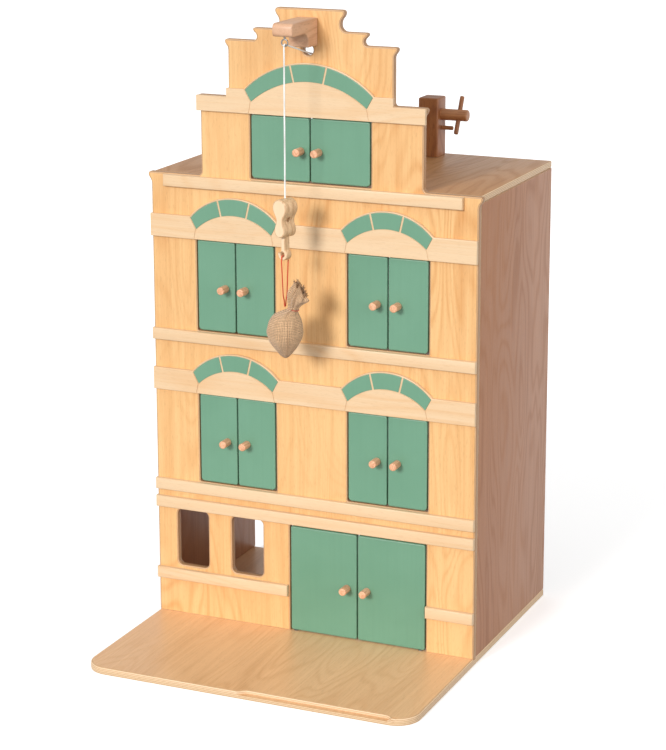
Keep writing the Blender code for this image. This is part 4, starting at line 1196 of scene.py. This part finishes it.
class BuildSack(bpy.types.Operator):
    """Jute sack: a stuffed teardrop, tied at the neck, with its gathered mouth leaning aside, and the red string."""
    bl_idname = "dollhouse.sack"
    bl_label = "Sack and string"

    def execute(self, context):
        shape = SackShape()
        sack = solid("jute_sack", self.cloth(shape), "load", ["jute weave"], ["sack"], 80.0)
        solid("frayed_mouth", self.frays(shape), "load", ["frayed jute"], (), ROUND_CREASE)
        seam = [tuple(shape.skin(i, -1.0, 0.1)) for i in range(4, 46)]
        solid("sack_seam", tube(seam, 0.4 * MM, "NURBS", 2), "load", ["jute weave"], (), ROUND_CREASE)

        path = self.loop_path()
        loop = solid("string_loop", tube(path, STRING_RADIUS, "POLY", 2), "load", ["red twist"],
                     ["red_loop"], ROUND_CREASE)
        solid("neck_string", self.neck_ring(), "load", ["red twist"], ["neck_tie"], ROUND_CREASE)
        return {"FINISHED"}

    def cloth(self, shape):
        """The sack's skin, with its threads counted round it and along it on its own map."""
        rows = shape.rows
        bm = bmesh.new()
        # the rows are spun 1 mm apart, so that a point's height tells its row
        line = [bm.verts.new((max(r, 0.0) * MM, 0, i * MM)) for i, (_, _, r, _) in enumerate(rows)]
        edges = [bm.edges.new(pair) for pair in zip(line, line[1:])]
        bmesh.ops.spin(bm, geom=line + edges, cent=(0, 0, 0), axis=(0, 0, 1), angle=FULL_TURN, steps=SACK_SEGMENTS,
                       use_merge=True, use_duplicate=False)
        bmesh.ops.remove_doubles(bm, verts=bm.verts, dist=1e-6)
        walked = [0.0]
        for p, q in zip(rows, rows[1:]):
            walked.append(walked[-1] + math.hypot(q[0] - p[0], q[2] - p[2]))
        turn = {v: (math.atan2(v.co.y, v.co.x) / FULL_TURN) % 1.0 for v in bm.verts}
        row = {v: min(len(rows) - 1, max(0, round(v.co.z / MM))) for v in bm.verts}
        pole = {v: Vector(v.co.xy).length <= 1e-7 for v in bm.verts}
        uv = bm.loops.layers.uv.new("weave")
        for f in bm.faces:
            us = [turn[corner.vert] for corner in f.loops if not pole[corner.vert]]
            wrap = max(us) - min(us) > 0.5
            for corner in f.loops:
                u = turn[corner.vert]
                if pole[corner.vert]:
                    u = sum((x + 1 if wrap and x < 0.5 else x) for x in us) / len(us)
                elif wrap and u < 0.5:
                    u += 1
                corner[uv].uv = (u * THREADS_ROUND, walked[row[corner.vert]] / THREAD_PITCH)
        for v in bm.verts:
            v.co = shape.skin(row[v], turn[v] * FULL_TURN)
        bmesh.ops.recalc_face_normals(bm, faces=bm.faces)
        return bm

    def frays(self, shape):
        """Loose threads along the mouth's rim."""
        rim = max(range(len(shape.rows)), key=lambda i: shape.rows[i][0])
        spread = random.Random(7)
        bm = bmesh.new()
        for k in range(FRAYS):
            th = FULL_TURN * (k + spread.random()) / FRAYS
            base = shape.skin(rim - 1, th, -0.2)
            out = Vector((math.cos(th), 0.7 * math.sin(th), 0))
            way = (out * spread.uniform(0.1, 0.9) + Vector((0.2, 0, spread.uniform(0.3, 1.0)))).normalized()
            curl = Vector((spread.uniform(-1, 1), spread.uniform(-1, 1), spread.uniform(-1, 1))) * 0.5
            size = spread.uniform(1.2, 3.6) * MM
            points = [base, base + way * size * 0.5, base + (way + curl).normalized() * size]
            join(bm, tube(points, spread.uniform(0.16, 0.30) * MM, "POLY", 0))
        return bm

    def loop_path(self):
        """The string's way: from the sack's neck up one side, through the hook's bend and down the other side."""
        place = hook_place()
        x = BEND_AT[0]
        low, half, high = -133.4 * MM, -119.25 * MM, BEND_AT[1] - BEND_INNER + 1.1 * MM
        wide = 5.6 * MM
        # sideways, half the distance between the two sides, height
        side = ((0.2, 1.0 * MM, low), (-0.1, 1.6 * MM, low + 8 * MM), (-0.3, 3.0 * MM, half),
                (-0.3, 4.3 * MM, half + 22 * MM), (-0.3, wide, high - 7 * MM), (0.0, wide, high - 0.8 * MM),
                (0.0, wide - 0.6 * MM, high + 0.15 * MM), (0.0, wide - 1.6 * MM, high + 0.2 * MM))
        up = [(x + u * MM, -y, z) for u, y, z in side]
        down = [(x - u * MM, y, z) for u, y, z in reversed(side)]
        return [tuple(place @ Vector(p)) for p in up + [(x, 0, high + 0.2 * MM)] + down]

    def neck_ring(self):
        """The string tied round the neck, with its own map."""
        lo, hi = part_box("neck_tie")
        centre = (lo + hi) / 2
        lean = Vector((math.sin(math.radians(13)), 0.0, math.cos(math.radians(13))))
        bm = ring(centre, lean, 6.5 * MM, 0.5 * MM, 48, 10)
        uv = bm.loops.layers.uv.new("wire")
        for f in bm.faces:
            for corner in f.loops:
                d = corner.vert.co - centre
                corner[uv].uv = (d.dot(lean) / (1.5 * MM), math.atan2(d.y, d.x) * 30.0)
        return bm


class DollhousePanel(bpy.types.Panel):
    """Lists the dollhouse's settings and its steps."""
    bl_idname = "VIEW3D_PT_dollhouse"
    bl_label = "Dollhouse"
    bl_space_type = "VIEW_3D"
    bl_region_type = "UI"
    bl_category = "Dollhouse"

    def draw(self, context):
        for group in (context.scene.dollhouse_colours, context.scene.dollhouse_sizes, context.scene.dollhouse_stage):
            box = self.layout.box()
            for key in group.__annotations__:
                box.prop(group, key)
        for step in STEPS:
            self.layout.operator(step.bl_idname)


STEPS = (BuildStage, BuildCords, BuildBoard, BuildShell, BuildFacade, BuildBands, BuildStrips, BuildLeaves,
         BuildHoist, BuildWinch, BuildHook, BuildSack)
CLASSES = (DollhouseColours, DollhouseSizes, DollhouseStage, *STEPS, DollhousePanel)


def register():
    for c in CLASSES:
        bpy.utils.register_class(c)
    bpy.types.Scene.dollhouse_colours = PointerProperty(type=DollhouseColours)
    bpy.types.Scene.dollhouse_sizes = PointerProperty(type=DollhouseSizes)
    bpy.types.Scene.dollhouse_stage = PointerProperty(type=DollhouseStage)


def unregister():
    for name in ("dollhouse_colours", "dollhouse_sizes", "dollhouse_stage"):
        delattr(bpy.types.Scene, name)
    for c in reversed(CLASSES):
        bpy.utils.unregister_class(c)


def main():
    register()
    make_finishes()
    for step in STEPS:
        group, name = step.bl_idname.split(".")
        getattr(getattr(bpy.ops, group), name)()


if __name__ == "__main__":
    main()
